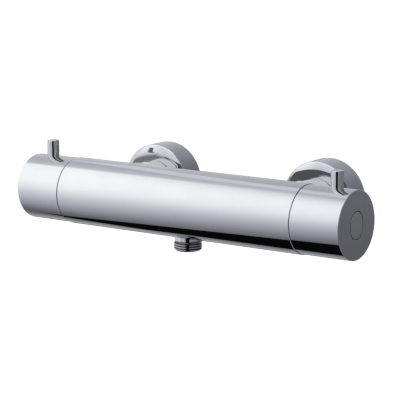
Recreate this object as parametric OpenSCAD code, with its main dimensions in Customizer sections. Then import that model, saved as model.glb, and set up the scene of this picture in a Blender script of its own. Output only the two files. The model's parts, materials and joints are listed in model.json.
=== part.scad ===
// Thermostatic shower valve: a round bar with a turning handle at each end, hung on two wall inlets.
// The origin lies in the wall plane, midway between the two wall threads.
// +X runs along the bar to the temperature handle, +Y into the wall, +Z up.

/* [Bar] */
// Diameter of the bar
bar_d = 51; // [50:0.5:56]
// Distance along the bar from an inlet's axis to the seam with the handle
inlet_to_seam = 29.9; // [28:0.1:36]

/* [Handles] */
// Diameter of the two handles
handle_d = 50; // [49:0.5:56]
// Length of a handle, from the seam to its end face
handle_l = 39.6; // [38:0.2:50]
// Wall of a handle's shell
handle_wall = 2; // [1.6:0.1:2.4]
// Thickness of a handle's end
handle_end_t = 2.7; // [2:0.1:3.5]
// Width of the seam between the bar and a handle
seam_gap = 0.5; // [0.4:0.1:1]

/* [Lever pins] */
// Diameter of a lever pin
lever_d = 9.2; // [7:0.1:10]
// Height of a lever pin above its handle
lever_rise = 12.4; // [8:0.1:20]
// Distance from a lever pin's axis to the handle's end face
lever_from_end = 16; // [15:0.5:18]

/* [Stop button] */
// Width of the oval button, across the bar
button_w = 16.8; // [14:0.2:18]
// Height of the oval button
button_h = 19.4; // [18:0.2:22]
// Travel of the button
button_travel = 2.5; // [1.5:0.1:2.6]

/* [Inlets] */
// Distance between the two inlet axes
inlet_spacing = 150; // [145:1:160]
// Distance from the bar's axis to the wall
wall_gap = 80.8; // [79:0.2:90]
// Height of the bar's axis above the two wall threads, which the eccentric unions take up
union_offset = 6; // [4:0.5:6.5]
// Diameter of the boss that carries an inlet
boss_d = 37.2; // [36.2:0.2:40]
// Distance from the bar's axis to the end of an inlet boss
boss_reach = 39.5; // [38:0.5:41]
// Diameter of a union nut
nut_d = 35.4; // [32:0.2:36]

/* [Rosettes] */
// Diameter of a rosette
rosette_d = 59.8; // [56:0.2:70]
// Depth of a rosette
rosette_depth = 20.2; // [20:0.1:21]
// Wall of a rosette
rosette_wall = 1.4; // [1:0.1:2]
// Rise of a rosette's domed face above its rim
rosette_dome = 2.3; // [1.5:0.1:3]

/* [Outlet] */
// Height of the plain collar between the bar and the outlet thread
outlet_collar = 1.7; // [1:0.1:4]
// Turns of thread on the outlet
outlet_turns = 4; // [3:1:8]
// Bore of the outlet
outlet_bore_d = 13; // [10:0.5:14]

/* [Pipe threads] */
// Outside diameter of the half-inch pipe thread
half_inch_d = 20.955; // [20.9:0.005:21]
// Outside diameter of the three-quarter-inch pipe thread
three_quarter_d = 26.441; // [26.4:0.001:26.5]
// Pitch of both pipe threads
pipe_pitch = 1.814; // [1.8:0.001:1.83]

/* [Thermostat] */
// Diameter of the thermostat cartridge
cartridge_d = 33.8; // [33:0.1:34]
// Distance between the cartridge's hot and cold windows
port_gap = 16; // [15:0.5:18]
// Width of a window
window_w = 2.4; // [2:0.1:3]
// Travel of the regulating nut in one turn of the handle
spindle_lead = 4; // [2:0.1:4]

/* [Flow control] */
// Diameter of the flow headwork's thread
headwork_d = 24; // [23.6:0.1:24.2]
// Diameter of its two ceramic discs
disc_d = 16.8; // [16:0.1:17]
// Thickness of a ceramic disc
disc_t = 3; // [2.5:0.1:3.2]

/* [Hidden] */
$fn = 96;

// Sides: the hot inlet and the flow handle are at -X, the cold inlet and the temperature handle at +X
hot = -1;
cold = 1;
flow = -1;
temperature = 1;

// Colours
chrome = [0.83, 0.84, 0.86];
brass = [0.78, 0.62, 0.32];
steel = [0.66, 0.67, 0.69];
rubber = [0.1, 0.1, 0.11];
white_plastic = [0.88, 0.88, 0.85];
black_plastic = [0.16, 0.16, 0.17];
ceramic = [0.93, 0.91, 0.86];

// Clearances
overrun = 0.5;        // how far a cut, or the root of a joined shape, runs past a face
running_fit = 0.05;   // radial, between a turning or sliding piece and its guide
static_fit = 0.1;     // radial, between pieces that stay put
free_gap = 0.3;       // between faces that pass each other

// Small details
edge_bevel = 0.5;     // broken edge of the chromed pieces
fine_bevel = 0.3;     // broken edge at a seam
thread_depth_share = 0.64;   // depth of a pipe thread, as a share of its pitch
thread_crest_share = 0.22;   // flat of a thread's crest, as a share of its pitch
thread_root_share = 0.1;     // flat of a thread's root, as a share of its pitch

// Frame of the bar
bar_y = -wall_gap;
bar_z = union_offset;
bar_r = bar_d / 2;
inlet_x = inlet_spacing / 2;
bar_end = inlet_x + inlet_to_seam;
handle_start = bar_end + seam_gap;
handle_end = handle_start + handle_l;
handle_r = handle_d / 2;
handle_inner_r = handle_r - handle_wall;

// Spigot at each end of the bar, with the ring that the handle glides on
spigot_l = 7;
glide_wall = 2.4;
glide_l = 6;
glide_flange_t = seam_gap - free_gap / 2;
glide_lip = 0.7;
glide_r = handle_inner_r - running_fit;
spigot_r = glide_r - glide_wall;
spigot_end = bar_end + spigot_l;

// Cartridge: the windows sit about the cold inlet's axis
cartridge_r = cartridge_d / 2;
cartridge_bore_r = cartridge_r + 2 * static_fit;
cartridge_nut_l = 8;
cartridge_nut_bore_r = 9;
spanner_hole_r = 1.2;
cold_window_x = inlet_x;
hot_window_x = inlet_x - port_gap;
shuttle_room = 5;
end_web_t = 3;
chamber_in = hot_window_x - window_w / 2 - shuttle_room;
chamber_out = cold_window_x + window_w / 2 + shuttle_room;
cartridge_in = chamber_in - end_web_t;
cartridge_out = spigot_end - cartridge_nut_l;
bearing_l = 6;
nut_chamber_end = cartridge_out - bearing_l;
chamber_r = 13;
end_web_hole_r = 9;
window_rib_w = 5;
window_ribs = 4;

// Rubber rings on the cartridge
ring_section_r = 1;
ring_groove_w = 2 * (ring_section_r + static_fit);
ring_groove_depth = 2 * ring_section_r - static_fit;
ring_mean_r = cartridge_r - ring_groove_depth + static_fit / 2 + ring_section_r;
inner_seal_x = chamber_in;
middle_seal_x = (hot_window_x + cold_window_x) / 2;
outer_seal_x = chamber_out + shuttle_room;
cartridge_seals = [inner_seal_x, middle_seal_x, outer_seal_x];

// Shuttle and wax element
shuttle_r = chamber_r - running_fit;
shuttle_wall = 2;
shuttle_web_t = 2;
web_hole_r = 1.5;
web_holes = 6;
wax_r = 5.5;
wax_l = 12;
wax_flange_r = 7;
wax_flange_t = 2;
wax_neck_r = 4;
wax_neck_l = 7;
wax_piston_r = 1.5;
shuttle_web_x = middle_seal_x - shuttle_web_t / 2;
wax_flange_x = shuttle_web_x + shuttle_web_t;
wax_neck_end = wax_flange_x + wax_flange_t + wax_neck_l;

// Regulating nut, which slides on two keys, with the overheat plunger, spring and clip in it
nut_chamber_r = 9.5;
regulating_nut_r = nut_chamber_r - running_fit;
regulating_nut_l = 12;
spindle_flange_t = 2;
spindle_flange_x = nut_chamber_end - free_gap / 2 - spindle_flange_t;
hot_turn_angle = 75;   // from the safety stop to full hot
regulating_nut_room = spindle_lead * hot_turn_angle / 360 + 2 * free_gap;
regulating_nut_x = spindle_flange_x - regulating_nut_room - regulating_nut_l;
nut_key_w = 3;
nut_key_l = 8;
nut_key_rise = 1.8;
nut_cavity_r = 6.4;
nut_cavity_l = 8.8;
clip_t = 0.8;
clip_groove_l = clip_t + static_fit;
clip_groove_depth = 0.7;
clip_from_end = 0.8;
clip_lip = 1.8;
plunger_t = 2;
plunger_x = regulating_nut_x + clip_from_end + clip_groove_l;
overheat_spring_x = plunger_x + plunger_t;
overheat_spring_l = regulating_nut_x + nut_cavity_l - overheat_spring_x;

// Spindles
spindle_r = 5;
spindle_thread_r = 4;
spindle_flange_r = 7.5;
spindle_nose_l = 6;
spline_r = 4.9;
spline_groove_r = 0.6;
splines = 12;
stem_ring_r = 0.5;
stem_groove_w = 2 * (stem_ring_r + static_fit);
stem_groove_depth = 2 * stem_ring_r + running_fit;
stem_ring_mean_r = spindle_r - stem_ring_r - running_fit / 2;
stem_clip_r = 7;
stem_clip_groove_r = 4.2;

// Handle core: carries the lever pin, the button's guides and the splined bore
core_l = 13;
core_fit = running_fit;
core_r = handle_inner_r - core_fit;
lever_x = handle_end - lever_from_end;
core_in = lever_x - core_l / 2;
core_out = lever_x + core_l / 2;
spindle_set_back = 0.5;
spindle_end = core_out - spindle_set_back;
lever_r = lever_d / 2;
lever_foot = 17;
lever_shank_r = 2.5;
lever_shank_l = 6;
grub_r = 2;
grub_in = spline_r + free_gap;
grub_out = 20;
grub_socket_r = 1.15;
grub_socket_depth = 2.5;

// Stop ring and button
stop_ring_t = 2;
stop_ring_bore_r = cartridge_nut_bore_r + free_gap;
stop_ring_r = spigot_r - free_gap;
stop_lug_rise = 3.6;
stop_lug_wall = 3;
stop_lug_angle = 24;
catch_r = 1.6;
catch_at_r = stop_ring_r - stop_lug_wall - free_gap - catch_r;
catch_tip_x = spigot_end + stop_ring_t + button_travel + free_gap;
button_gap = 0.4;
button_plate_t = 2.1;
button_plate_x = handle_end - handle_end_t - free_gap / 2 - button_plate_t;
button_plate_r = catch_at_r + catch_r + running_fit;
button_stem_r = 1.5;
button_stem_at = 9;
button_stem_l = 10;
button_spring_l = button_plate_x - core_out;

// Flow headwork, measured from the middle of the bar outwards
headwork_r = headwork_d / 2;
headwork_bore_r = headwork_r + static_fit;
headwork_flange_t = 6;
headwork_flange_r = 13.5;
counterbore_r = 16;
headwork_seat_x = spigot_end - cartridge_nut_l;
headwork_reach = 38.9;
headwork_thread_l = 14;
headwork_floor = headwork_seat_x - headwork_reach;
nose_wall = 2.5;
disc_r = disc_d / 2;
nose_inner_r = disc_r + static_fit;
nose_r = nose_inner_r + nose_wall;
nose_bore_r = nose_r + static_fit;
nose_bore_l = 8;
seat_t = 3;
seat_proud = 1;
seat_bore_r = 5;
nose_in = headwork_floor + seat_proud;
fixed_disc_x = headwork_floor + seat_t;
moving_disc_x = fixed_disc_x + disc_t + running_fit;
disc_port_in_r = 2;
disc_port_out_r = 6.4;
disc_port_angle = 84;
tongue_w = 2.8;
tongue_depth = 1.1;
spindle_head_x = moving_disc_x + disc_t + running_fit;
spindle_head_t = 2.6;
spindle_stem_r = 4;
nose_cavity_l = 20;
nose_cavity_end = nose_in + nose_cavity_l;
nose_window_l = 8;
nose_window_w = 10;
nose_window_x = nose_cavity_end - spindle_flange_t - nose_window_l;
outlet_drop_x = nose_window_x + nose_window_l / 2;
headwork_end = headwork_seat_x + headwork_flange_t;

// Water passages in the bar
body_wall = 3.2;
tube_wall = 2.5;
mixed_r = 6;
outlet_gallery_depth = 16;
outlet_gallery_r = 4.3;
port_r = 6;
water_groove_depth = 2;
water_groove_w = 6;
feed_hole_r = 2;
feed_holes = 6;
hot_chamber_r = bar_r - body_wall;
hot_chamber_in = outlet_drop_x + outlet_gallery_r + tube_wall;
hot_chamber_out = hot_window_x + water_groove_w / 2;
hot_port_depth = headwork_bore_r + tube_wall;

// Outlet
half_inch_r = half_inch_d / 2;
thread_depth = pipe_pitch * thread_depth_share;
outlet_boss_r = half_inch_r - thread_depth / 2;
outlet_face = bar_r + outlet_collar;
outlet_shank_r = half_inch_r - thread_depth - static_fit;
outlet_shank_l = 6;
outlet_bore_r = outlet_bore_d / 2;
outlet_ring_at = 2.5;
outlet_ring_r = 0.45;
outlet_groove_w = 2 * (outlet_ring_r + static_fit);
outlet_groove_depth = 2 * outlet_ring_r + running_fit;
outlet_thread_l = outlet_turns * pipe_pitch;

// Inlets, measured from the bar's axis towards the wall
boss_r = boss_d / 2;
three_quarter_r = three_quarter_d / 2;
inlet_turns = 5;
inlet_neck_l = 1;
inlet_spigot_end = boss_reach + inlet_neck_l + inlet_turns * pipe_pitch;
check_bore_r = 9.5;
check_r = check_bore_r - static_fit;
check_set_back = 2;
check_out = inlet_spigot_end - check_set_back;
check_web_t = 2;
check_hub_r = 3.4;
check_web_ribs = 4;
check_web_rib_w = 1.6;
check_tube_wall = 1.4;
check_seat_t = 4;
check_seat_r = 5.5;
check_seat_y = check_out - check_seat_t;
poppet_r = 7;
poppet_t = 2;
poppet_stem_r = 1.5;
poppet_travel = 4;
check_spring_shut_l = 8.6;
check_spring_l = check_spring_shut_l + poppet_travel;
check_spring_y = check_seat_y - poppet_t - check_spring_l;
check_in = check_spring_y - check_web_t;
poppet_stem_in = check_in - free_gap;

// Union nut, washer, strainer and eccentric union
washer_t = 2;
washer_r = 12.9;
washer_bore_r = 11;
strainer_rim_r = washer_bore_r - static_fit;
strainer_cup_r = 8.2;
strainer_wall = 0.6;
strainer_depth = 7;
strainer_hole_r = 0.8;
strainer_rows = 2;
strainer_holes = 10;
strainer_end_ring_share = 0.67;   // radius of the ring of holes in the cup's end, as a share of the cup's
union_collar_y = inlet_spigot_end + washer_t;
union_collar_t = 3.5;
union_collar_r = 13;
union_neck_r = 11;
union_bore_r = 8.5;
nut_r = nut_d / 2;
nut_bore_r = three_quarter_r + static_fit;
nut_lip_y = union_collar_y + union_collar_t;
nut_start = boss_reach + free_gap;
rosette_face = wall_gap - rosette_depth;
rosette_r = rosette_d / 2;
rosette_plate_t = 1.6;
rosette_ring_wall = 3;
rosette_ring_r = union_neck_r + rosette_ring_wall;
dome_base_r = rosette_r - fine_bevel;
dome_ball_r = (dome_base_r ^ 2 + rosette_dome ^ 2) / (2 * rosette_dome);
dome_centre = dome_ball_r - rosette_dome;

// Depth behind a rosette's rim of a ball about the dome's centre, at the given radius
function ball_depth(ball_r, r) = dome_centre - sqrt(ball_r ^ 2 - r ^ 2);

rosette_ring_y = rosette_face + ball_depth(dome_ball_r - rosette_plate_t, rosette_ring_r);
union_block_set_back = 4.7;   // from a rosette's rim to the block of its union
union_block_y = rosette_face + union_block_set_back;
rosette_ring_t = union_block_y - free_gap - rosette_ring_y;
nut_end = rosette_face + ball_depth(dome_ball_r, union_neck_r + free_gap) - free_gap;
union_block_t = 5.7;
union_block_r = 15;
union_flats = 27;
wall_thread_turns = 12;
wall_thread_l = wall_thread_turns * pipe_pitch;
wall_bore_r = 7.5;

// Springs
spring_sides = 6;
spring_rings = 8;
check_spring_mean_r = 4.5;
check_wire_r = 0.3;
check_spring_turns = 6;
shuttle_spring_mean_r = 9.8;
shuttle_wire_r = 0.6;
shuttle_spring_turns = 5;
overheat_spring_mean_r = 5.2;
overheat_wire_r = 0.5;
overheat_spring_turns = 3;
button_spring_mean_r = 6;
button_wire_r = 0.3;
button_spring_turns = 3;

// Turns what is drawn along +Z so that it points outwards along the bar from the given place
module along_bar(side, from) {
    translate([side * from, bar_y, bar_z]) rotate([0, side * 90, 0]) children();
}

// The same along an inlet, towards the wall
module along_inlet(side, from) {
    translate([side * inlet_x, bar_y + from, bar_z]) rotate([-90, 0, 0]) children();
}

// A place on the bar's axis, with +Z still up
module on_axis(x) {
    translate([x, bar_y, bar_z]) children();
}

module rod(r, l, bevel = 0) {
    rotate_extrude()
        polygon([[0, 0], [r - bevel, 0], [r, bevel], [r, l - bevel], [r - bevel, l], [0, l]]);
}

module plain_rod(r, l) {
    cylinder(r = r, h = l);
}

// A cut that runs past both of its ends
module through_cut(r, l) {
    translate([0, 0, -overrun]) cylinder(r = r, h = l + 2 * overrun);
}

module tube(outer_r, inner_r, l) {
    difference() {
        plain_rod(outer_r, l);
        through_cut(inner_r, l);
    }
}

// A ring-shaped groove, cut inwards from an outer surface
module outer_groove(surface_r, depth, w) {
    tube(surface_r + overrun, surface_r - depth, w);
}

module rubber_ring(mean_r, section_r) {
    rotate_extrude() translate([mean_r, 0]) circle(r = section_r);
}

// Male pipe thread as a solid rod with a crest for every turn
module male_thread(major_r, turns) {
    root_r = major_r - thread_depth;
    root = pipe_pitch * thread_root_share / 2;
    crest = pipe_pitch * thread_crest_share / 2;
    mid = pipe_pitch / 2;
    rotate_extrude()
        polygon(concat(
            [[0, 0], [root_r, 0]],
            [for (turn = [0:turns - 1], p = [
                [root_r, root], [major_r, mid - crest], [major_r, mid + crest],
                [root_r, pipe_pitch - root]
            ]) [p[0], p[1] + turn * pipe_pitch]],
            [[root_r, turns * pipe_pitch], [0, turns * pipe_pitch]]
        ));
}

// Round wire wound into an open coil, as one swept tube
module coil_spring(mean_r, wire_r, l, turns) {
    rings = turns * spring_rings;
    rise = (l - 2 * wire_r) / rings;
    lean = atan(rise * spring_rings / (2 * PI * mean_r));
    points = [
        for (ring = [0:rings], side = [0:spring_sides - 1])
            let (
                turn = ring * 360 / spring_rings,
                way = side * 360 / spring_sides,
                out = wire_r * cos(way),
                up = wire_r * sin(way)
            )
            [
                (mean_r + out) * cos(turn) + up * sin(lean) * sin(turn),
                (mean_r + out) * sin(turn) - up * sin(lean) * cos(turn),
                wire_r + ring * rise + up * cos(lean)
            ]
    ];
    skin = [
        for (ring = [0:rings - 1], side = [0:spring_sides - 1])
            let (
                a = ring * spring_sides + side,
                b = ring * spring_sides + (side + 1) % spring_sides
            )
            each [[a, a + spring_sides, b], [b, a + spring_sides, b + spring_sides]]
    ];
    first_end = [for (side = [1:spring_sides - 2]) [0, side, side + 1]];
    last = rings * spring_sides;
    last_end = [for (side = [1:spring_sides - 2]) [last, last + side + 1, last + side]];
    polyhedron(points, concat(skin, first_end, last_end));
}

// Bar

module bar_core() {
    on_axis(-bar_end) rotate([0, 90, 0]) rod(bar_r, 2 * bar_end, fine_bevel);
    for (side = [flow, temperature])
        along_bar(side, bar_end - overrun) plain_rod(spigot_r, spigot_l + overrun);
}

module inlet_spigot(side) {
    along_inlet(side, 0) rod(boss_r, boss_reach, edge_bevel);
    along_inlet(side, boss_reach - overrun)
        plain_rod(three_quarter_r - thread_depth, inlet_neck_l + overrun);
    along_inlet(side, boss_reach + inlet_neck_l) male_thread(three_quarter_r, inlet_turns);
}

module outlet_boss() {
    on_axis(0) translate([0, 0, -outlet_face])
        rod(outlet_boss_r, outlet_face - mixed_r, fine_bevel);
}

module inlet_cuts(side, port_start) {
    along_inlet(side, check_in)
        plain_rod(check_bore_r, inlet_spigot_end - check_in + overrun);
    along_inlet(side, port_start) plain_rod(port_r, check_in - port_start + overrun);
}

module cartridge_cuts() {
    along_bar(temperature, cartridge_in)
        plain_rod(cartridge_bore_r, spigot_end - cartridge_in + overrun);
    for (x = [hot_window_x, cold_window_x])
        along_bar(temperature, x - water_groove_w / 2)
            plain_rod(cartridge_bore_r + water_groove_depth, water_groove_w);
}

module headwork_cuts() {
    along_bar(flow, headwork_floor) plain_rod(nose_bore_r, nose_bore_l + overrun);
    along_bar(flow, headwork_floor + nose_bore_l)
        plain_rod(headwork_bore_r, headwork_reach - nose_bore_l + overrun);
    along_bar(flow, headwork_seat_x)
        plain_rod(counterbore_r, spigot_end - headwork_seat_x + overrun);
}

// A straight waterway along the bar between two places, below its axis by the given depth
module waterway(r, from, to, depth = 0) {
    on_axis(from) translate([0, 0, -depth]) rotate([0, 90, 0]) plain_rod(r, to - from);
}

// What stands inside the hot chamber: the two bores' walls and the tubes for mixed water
module inner_walls() {
    waterway(mixed_r + tube_wall, -headwork_floor, cartridge_in);
    along_bar(flow, headwork_floor - tube_wall)
        plain_rod(hot_port_depth, hot_chamber_in - headwork_floor + tube_wall + overrun);
    along_bar(temperature, cartridge_in - tube_wall)
        plain_rod(cartridge_bore_r + tube_wall, hot_chamber_out - cartridge_in + tube_wall + overrun);
    waterway(outlet_gallery_r + tube_wall, -hot_chamber_in - overrun, 0, outlet_gallery_depth);
    on_axis(-outlet_drop_x) translate([0, 0, -outlet_gallery_depth])
        plain_rod(outlet_gallery_r + tube_wall, outlet_gallery_depth);
    on_axis(0) translate([0, 0, -bar_r])
        plain_rod(outlet_shank_r + tube_wall, bar_r - outlet_gallery_depth + tube_wall);
}

// Hot water fills the hollow casting around the inner walls
module hot_chamber() {
    difference() {
        waterway(hot_chamber_r, -hot_chamber_in, hot_chamber_out);
        inner_walls();
    }
    for (hole = [0:feed_holes - 1])
        along_bar(temperature, hot_window_x) rotate([0, 90, hole * 360 / feed_holes])
            plain_rod(feed_hole_r, hot_chamber_r - overrun);
}

module mixed_water_cuts() {
    waterway(mixed_r, -headwork_floor - overrun, cartridge_in + overrun);
    waterway(outlet_gallery_r, -outlet_drop_x, outlet_gallery_r, outlet_gallery_depth);
    on_axis(-outlet_drop_x) translate([0, 0, -outlet_gallery_depth])
        plain_rod(outlet_gallery_r, outlet_gallery_depth - nose_inner_r);
}

module outlet_cuts() {
    on_axis(0) translate([0, 0, -outlet_face - overrun]) {
        plain_rod(outlet_shank_r + static_fit, outlet_shank_l + overrun);
        plain_rod(outlet_bore_r - running_fit, outlet_face + overrun - outlet_gallery_depth);
    }
}

module valve_body() {
    color(chrome) difference() {
        union() {
            bar_core();
            outlet_boss();
            for (side = [hot, cold]) inlet_spigot(side);
        }
        cartridge_cuts();
        headwork_cuts();
        hot_chamber();
        mixed_water_cuts();
        outlet_cuts();
        inlet_cuts(hot, hot_port_depth);
        inlet_cuts(cold, cartridge_bore_r - water_groove_depth);
    }
}

module outlet_nipple() {
    color(chrome) on_axis(0) translate([0, 0, -outlet_face]) difference() {
        union() {
            translate([0, 0, -outlet_thread_l]) male_thread(half_inch_r, outlet_turns);
            translate([0, 0, -overrun])
                plain_rod(outlet_shank_r, outlet_shank_l - static_fit + overrun);
        }
        translate([0, 0, outlet_ring_at - outlet_groove_w / 2])
            outer_groove(outlet_shank_r, outlet_groove_depth, outlet_groove_w);
        translate([0, 0, -outlet_thread_l])
            through_cut(outlet_bore_r, outlet_thread_l + outlet_shank_l);
    }
}

module outlet_o_ring() {
    color(rubber) on_axis(0) translate([0, 0, outlet_ring_at - outlet_face])
        rubber_ring(outlet_shank_r - outlet_groove_depth + running_fit + outlet_ring_r,
            outlet_ring_r);
}

// Inlets

module union_nut(side) {
    color(chrome) along_inlet(side, nut_start) difference() {
        rod(nut_r, nut_end - nut_start, edge_bevel);
        translate([0, 0, -overrun]) plain_rod(nut_bore_r, nut_lip_y - nut_start + overrun);
        through_cut(union_neck_r + free_gap, nut_end - nut_start);
    }
}
module hot_union_nut() { union_nut(hot); }
module cold_union_nut() { union_nut(cold); }

module washer(side) {
    color(rubber) along_inlet(side, inlet_spigot_end) tube(washer_r, washer_bore_r, washer_t);
}
module hot_washer() { washer(hot); }
module cold_washer() { washer(cold); }

// Sieve with a trapped rim and a drilled cup that reaches into the union
module strainer(side) {
    cup_l = washer_t + strainer_depth;
    row_step = strainer_depth / (strainer_rows + 1);
    color(steel) along_inlet(side, inlet_spigot_end) difference() {
        union() {
            plain_rod(strainer_rim_r, washer_t);
            plain_rod(strainer_cup_r, cup_l);
        }
        translate([0, 0, -overrun])
            plain_rod(strainer_cup_r - strainer_wall, cup_l - strainer_wall + overrun);
        for (row = [1:strainer_rows], hole = [0:strainer_holes - 1])
            rotate([0, 0, (hole + row / 2) * 360 / strainer_holes])
                translate([0, 0, washer_t + row * row_step]) rotate([0, 90, 0])
                plain_rod(strainer_hole_r, strainer_cup_r + overrun);
        for (hole = [0:strainer_holes - 1])
            rotate([0, 0, hole * 360 / strainer_holes])
                translate([strainer_cup_r * strainer_end_ring_share, 0, strainer_depth])
                plain_rod(strainer_hole_r, cup_l);
    }
}
module hot_strainer() { strainer(hot); }
module cold_strainer() { strainer(cold); }

// Collar and neck on the nut's axis, wall thread on the pipe's axis, and a block with flats between
module eccentric_union(side) {
    neck_l = union_block_y - union_collar_y;
    block_mid = neck_l + union_block_t / 2;
    color(brass) along_inlet(side, union_collar_y) difference() {
        union() {
            plain_rod(union_collar_r, union_collar_t);
            plain_rod(union_neck_r, neck_l + overrun);
            translate([0, union_offset / 2, neck_l]) intersection() {
                plain_rod(union_block_r, union_block_t);
                translate([-union_flats / 2, -union_block_r, 0])
                    cube([union_flats, 2 * union_block_r, union_block_t]);
            }
            translate([0, union_offset, neck_l + union_block_t])
                male_thread(half_inch_r, wall_thread_turns);
        }
        translate([0, 0, -overrun]) plain_rod(union_bore_r, block_mid + 2 * overrun);
        translate([0, union_offset, block_mid - overrun])
            plain_rod(wall_bore_r, union_block_t / 2 + wall_thread_l + 2 * overrun);
    }
}
module hot_union() { eccentric_union(hot); }
module cold_union() { eccentric_union(cold); }

// The part of a ball that stands out in front of a rosette's rim, up to the given radius
module dome_cap(ball_r, cap_r) {
    intersection() {
        translate([0, 0, dome_centre]) sphere(r = ball_r);
        translate([0, 0, -rosette_dome - overrun])
            plain_rod(cap_r, rosette_dome + rosette_plate_t + 2 * overrun);
    }
}

module rosette(side) {
    color(chrome) along_inlet(side, rosette_face) difference() {
        union() {
            rod(rosette_r, rosette_depth, fine_bevel);
            dome_cap(dome_ball_r, dome_base_r);
        }
        dome_cap(dome_ball_r - rosette_plate_t, rosette_r - rosette_wall);
        translate([0, 0, rosette_plate_t])
            plain_rod(rosette_r - rosette_wall, rosette_depth - rosette_plate_t + overrun);
        translate([0, 0, -rosette_dome])
            through_cut(union_neck_r + free_gap, rosette_dome + rosette_plate_t);
    }
}
module hot_rosette() { rosette(hot); }
module cold_rosette() { rosette(cold); }

module rosette_ring(side) {
    color(rubber) along_inlet(side, rosette_ring_y)
        tube(rosette_ring_r, union_neck_r + running_fit, rosette_ring_t);
}
module hot_rosette_ring() { rosette_ring(hot); }
module cold_rosette_ring() { rosette_ring(cold); }

// Non-return valves

module check_housing(side) {
    l = check_out - check_in;
    inner_r = check_r - check_tube_wall;
    color(white_plastic) along_inlet(side, check_in) difference() {
        plain_rod(check_r, l);
        translate([0, 0, check_web_t]) plain_rod(inner_r, l - check_web_t - check_seat_t);
        through_cut(poppet_stem_r + running_fit, l);
        translate([0, 0, l - check_seat_t - overrun])
            plain_rod(check_seat_r, check_seat_t + 2 * overrun);
        difference() {
            translate([0, 0, -overrun])
                tube(inner_r, check_hub_r, check_web_t + 2 * overrun);
            for (rib = [0:check_web_ribs - 1])
                rotate([0, 0, rib * 360 / check_web_ribs])
                    translate([0, -check_web_rib_w / 2, -2 * overrun])
                    cube([check_r, check_web_rib_w, check_web_t + 4 * overrun]);
        }
    }
}
module hot_check_housing() { check_housing(hot); }
module cold_check_housing() { check_housing(cold); }

module check_poppet(side) {
    color(black_plastic) {
        along_inlet(side, poppet_stem_in)
            plain_rod(poppet_stem_r, check_seat_y - poppet_stem_in);
        along_inlet(side, check_seat_y - poppet_t) rod(poppet_r, poppet_t, fine_bevel);
    }
}
module hot_check_poppet() { check_poppet(hot); }
module cold_check_poppet() { check_poppet(cold); }

module check_spring(side) {
    color(steel) along_inlet(side, check_spring_y)
        coil_spring(check_spring_mean_r, check_wire_r, check_spring_l, check_spring_turns);
}
module hot_check_spring() { check_spring(hot); }
module cold_check_spring() { check_spring(cold); }

// Thermostat cartridge

module window_cut(x) {
    translate([0, 0, x - window_w / 2 - cartridge_in]) difference() {
        tube(cartridge_r + overrun, chamber_r - overrun, window_w);
        for (rib = [0:window_ribs - 1])
            rotate([0, 0, rib * 360 / window_ribs])
                translate([0, -window_rib_w / 2, -overrun])
                cube([cartridge_r + 2 * overrun, window_rib_w, window_w + 2 * overrun]);
    }
}

module nut_keys(rise, w, l) {
    for (side = [-1, 1])
        translate([side > 0 ? 0 : -rise, -w / 2, 0]) cube([rise, w, l]);
}

module cartridge_housing() {
    l = cartridge_out - cartridge_in;
    slot_r = regulating_nut_r + nut_key_rise + free_gap;
    color(white_plastic) along_bar(temperature, cartridge_in) difference() {
        plain_rod(cartridge_r, l);
        translate([0, 0, -overrun]) plain_rod(end_web_hole_r, end_web_t + 2 * overrun);
        translate([0, 0, end_web_t]) plain_rod(chamber_r, chamber_out - chamber_in);
        translate([0, 0, chamber_out - cartridge_in - overrun]) {
            plain_rod(nut_chamber_r, nut_chamber_end - chamber_out + overrun);
            nut_keys(slot_r, nut_key_w + free_gap, nut_chamber_end - chamber_out + overrun);
        }
        through_cut(spindle_r + running_fit, l);
        window_cut(hot_window_x);
        window_cut(cold_window_x);
        for (x = cartridge_seals)
            translate([0, 0, x - ring_groove_w / 2 - cartridge_in])
                outer_groove(cartridge_r, ring_groove_depth, ring_groove_w);
    }
}

module cartridge_o_rings() {
    color(rubber) for (x = cartridge_seals)
        along_bar(temperature, x) rubber_ring(ring_mean_r, ring_section_r);
}

module cartridge_nut() {
    color(brass) along_bar(temperature, cartridge_out) difference() {
        rod(cartridge_r + static_fit, cartridge_nut_l, fine_bevel);
        through_cut(cartridge_nut_bore_r, cartridge_nut_l);
        for (side = [-1, 1])
            translate([side * (cartridge_r + cartridge_nut_bore_r) / 2, 0, cartridge_nut_l / 2])
                plain_rod(spanner_hole_r, cartridge_nut_l);
    }
}

module shuttle() {
    web_at = shuttle_web_x - hot_window_x;
    color(white_plastic) along_bar(temperature, hot_window_x) {
        tube(shuttle_r, shuttle_r - shuttle_wall, port_gap);
        translate([0, 0, web_at]) difference() {
            plain_rod(shuttle_r - shuttle_wall, shuttle_web_t);
            through_cut(wax_r + static_fit, shuttle_web_t);
            for (hole = [0:web_holes - 1])
                rotate([0, 0, hole * 360 / web_holes])
                    translate([(shuttle_r - shuttle_wall + wax_flange_r) / 2, 0, 0])
                    through_cut(web_hole_r, shuttle_web_t);
        }
    }
}

module wax_element() {
    color(brass) {
        along_bar(temperature, wax_flange_x - wax_l) rod(wax_r, wax_l, edge_bevel);
        along_bar(temperature, wax_flange_x) plain_rod(wax_flange_r, wax_flange_t);
        along_bar(temperature, wax_flange_x)
            plain_rod(wax_neck_r, wax_flange_t + wax_neck_l);
        along_bar(temperature, wax_neck_end)
            plain_rod(wax_piston_r, plunger_x - wax_neck_end);
    }
}

module shuttle_spring() {
    color(steel) along_bar(temperature, chamber_in)
        coil_spring(shuttle_spring_mean_r, shuttle_wire_r,
            shuttle_web_x - chamber_in, shuttle_spring_turns);
}

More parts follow.
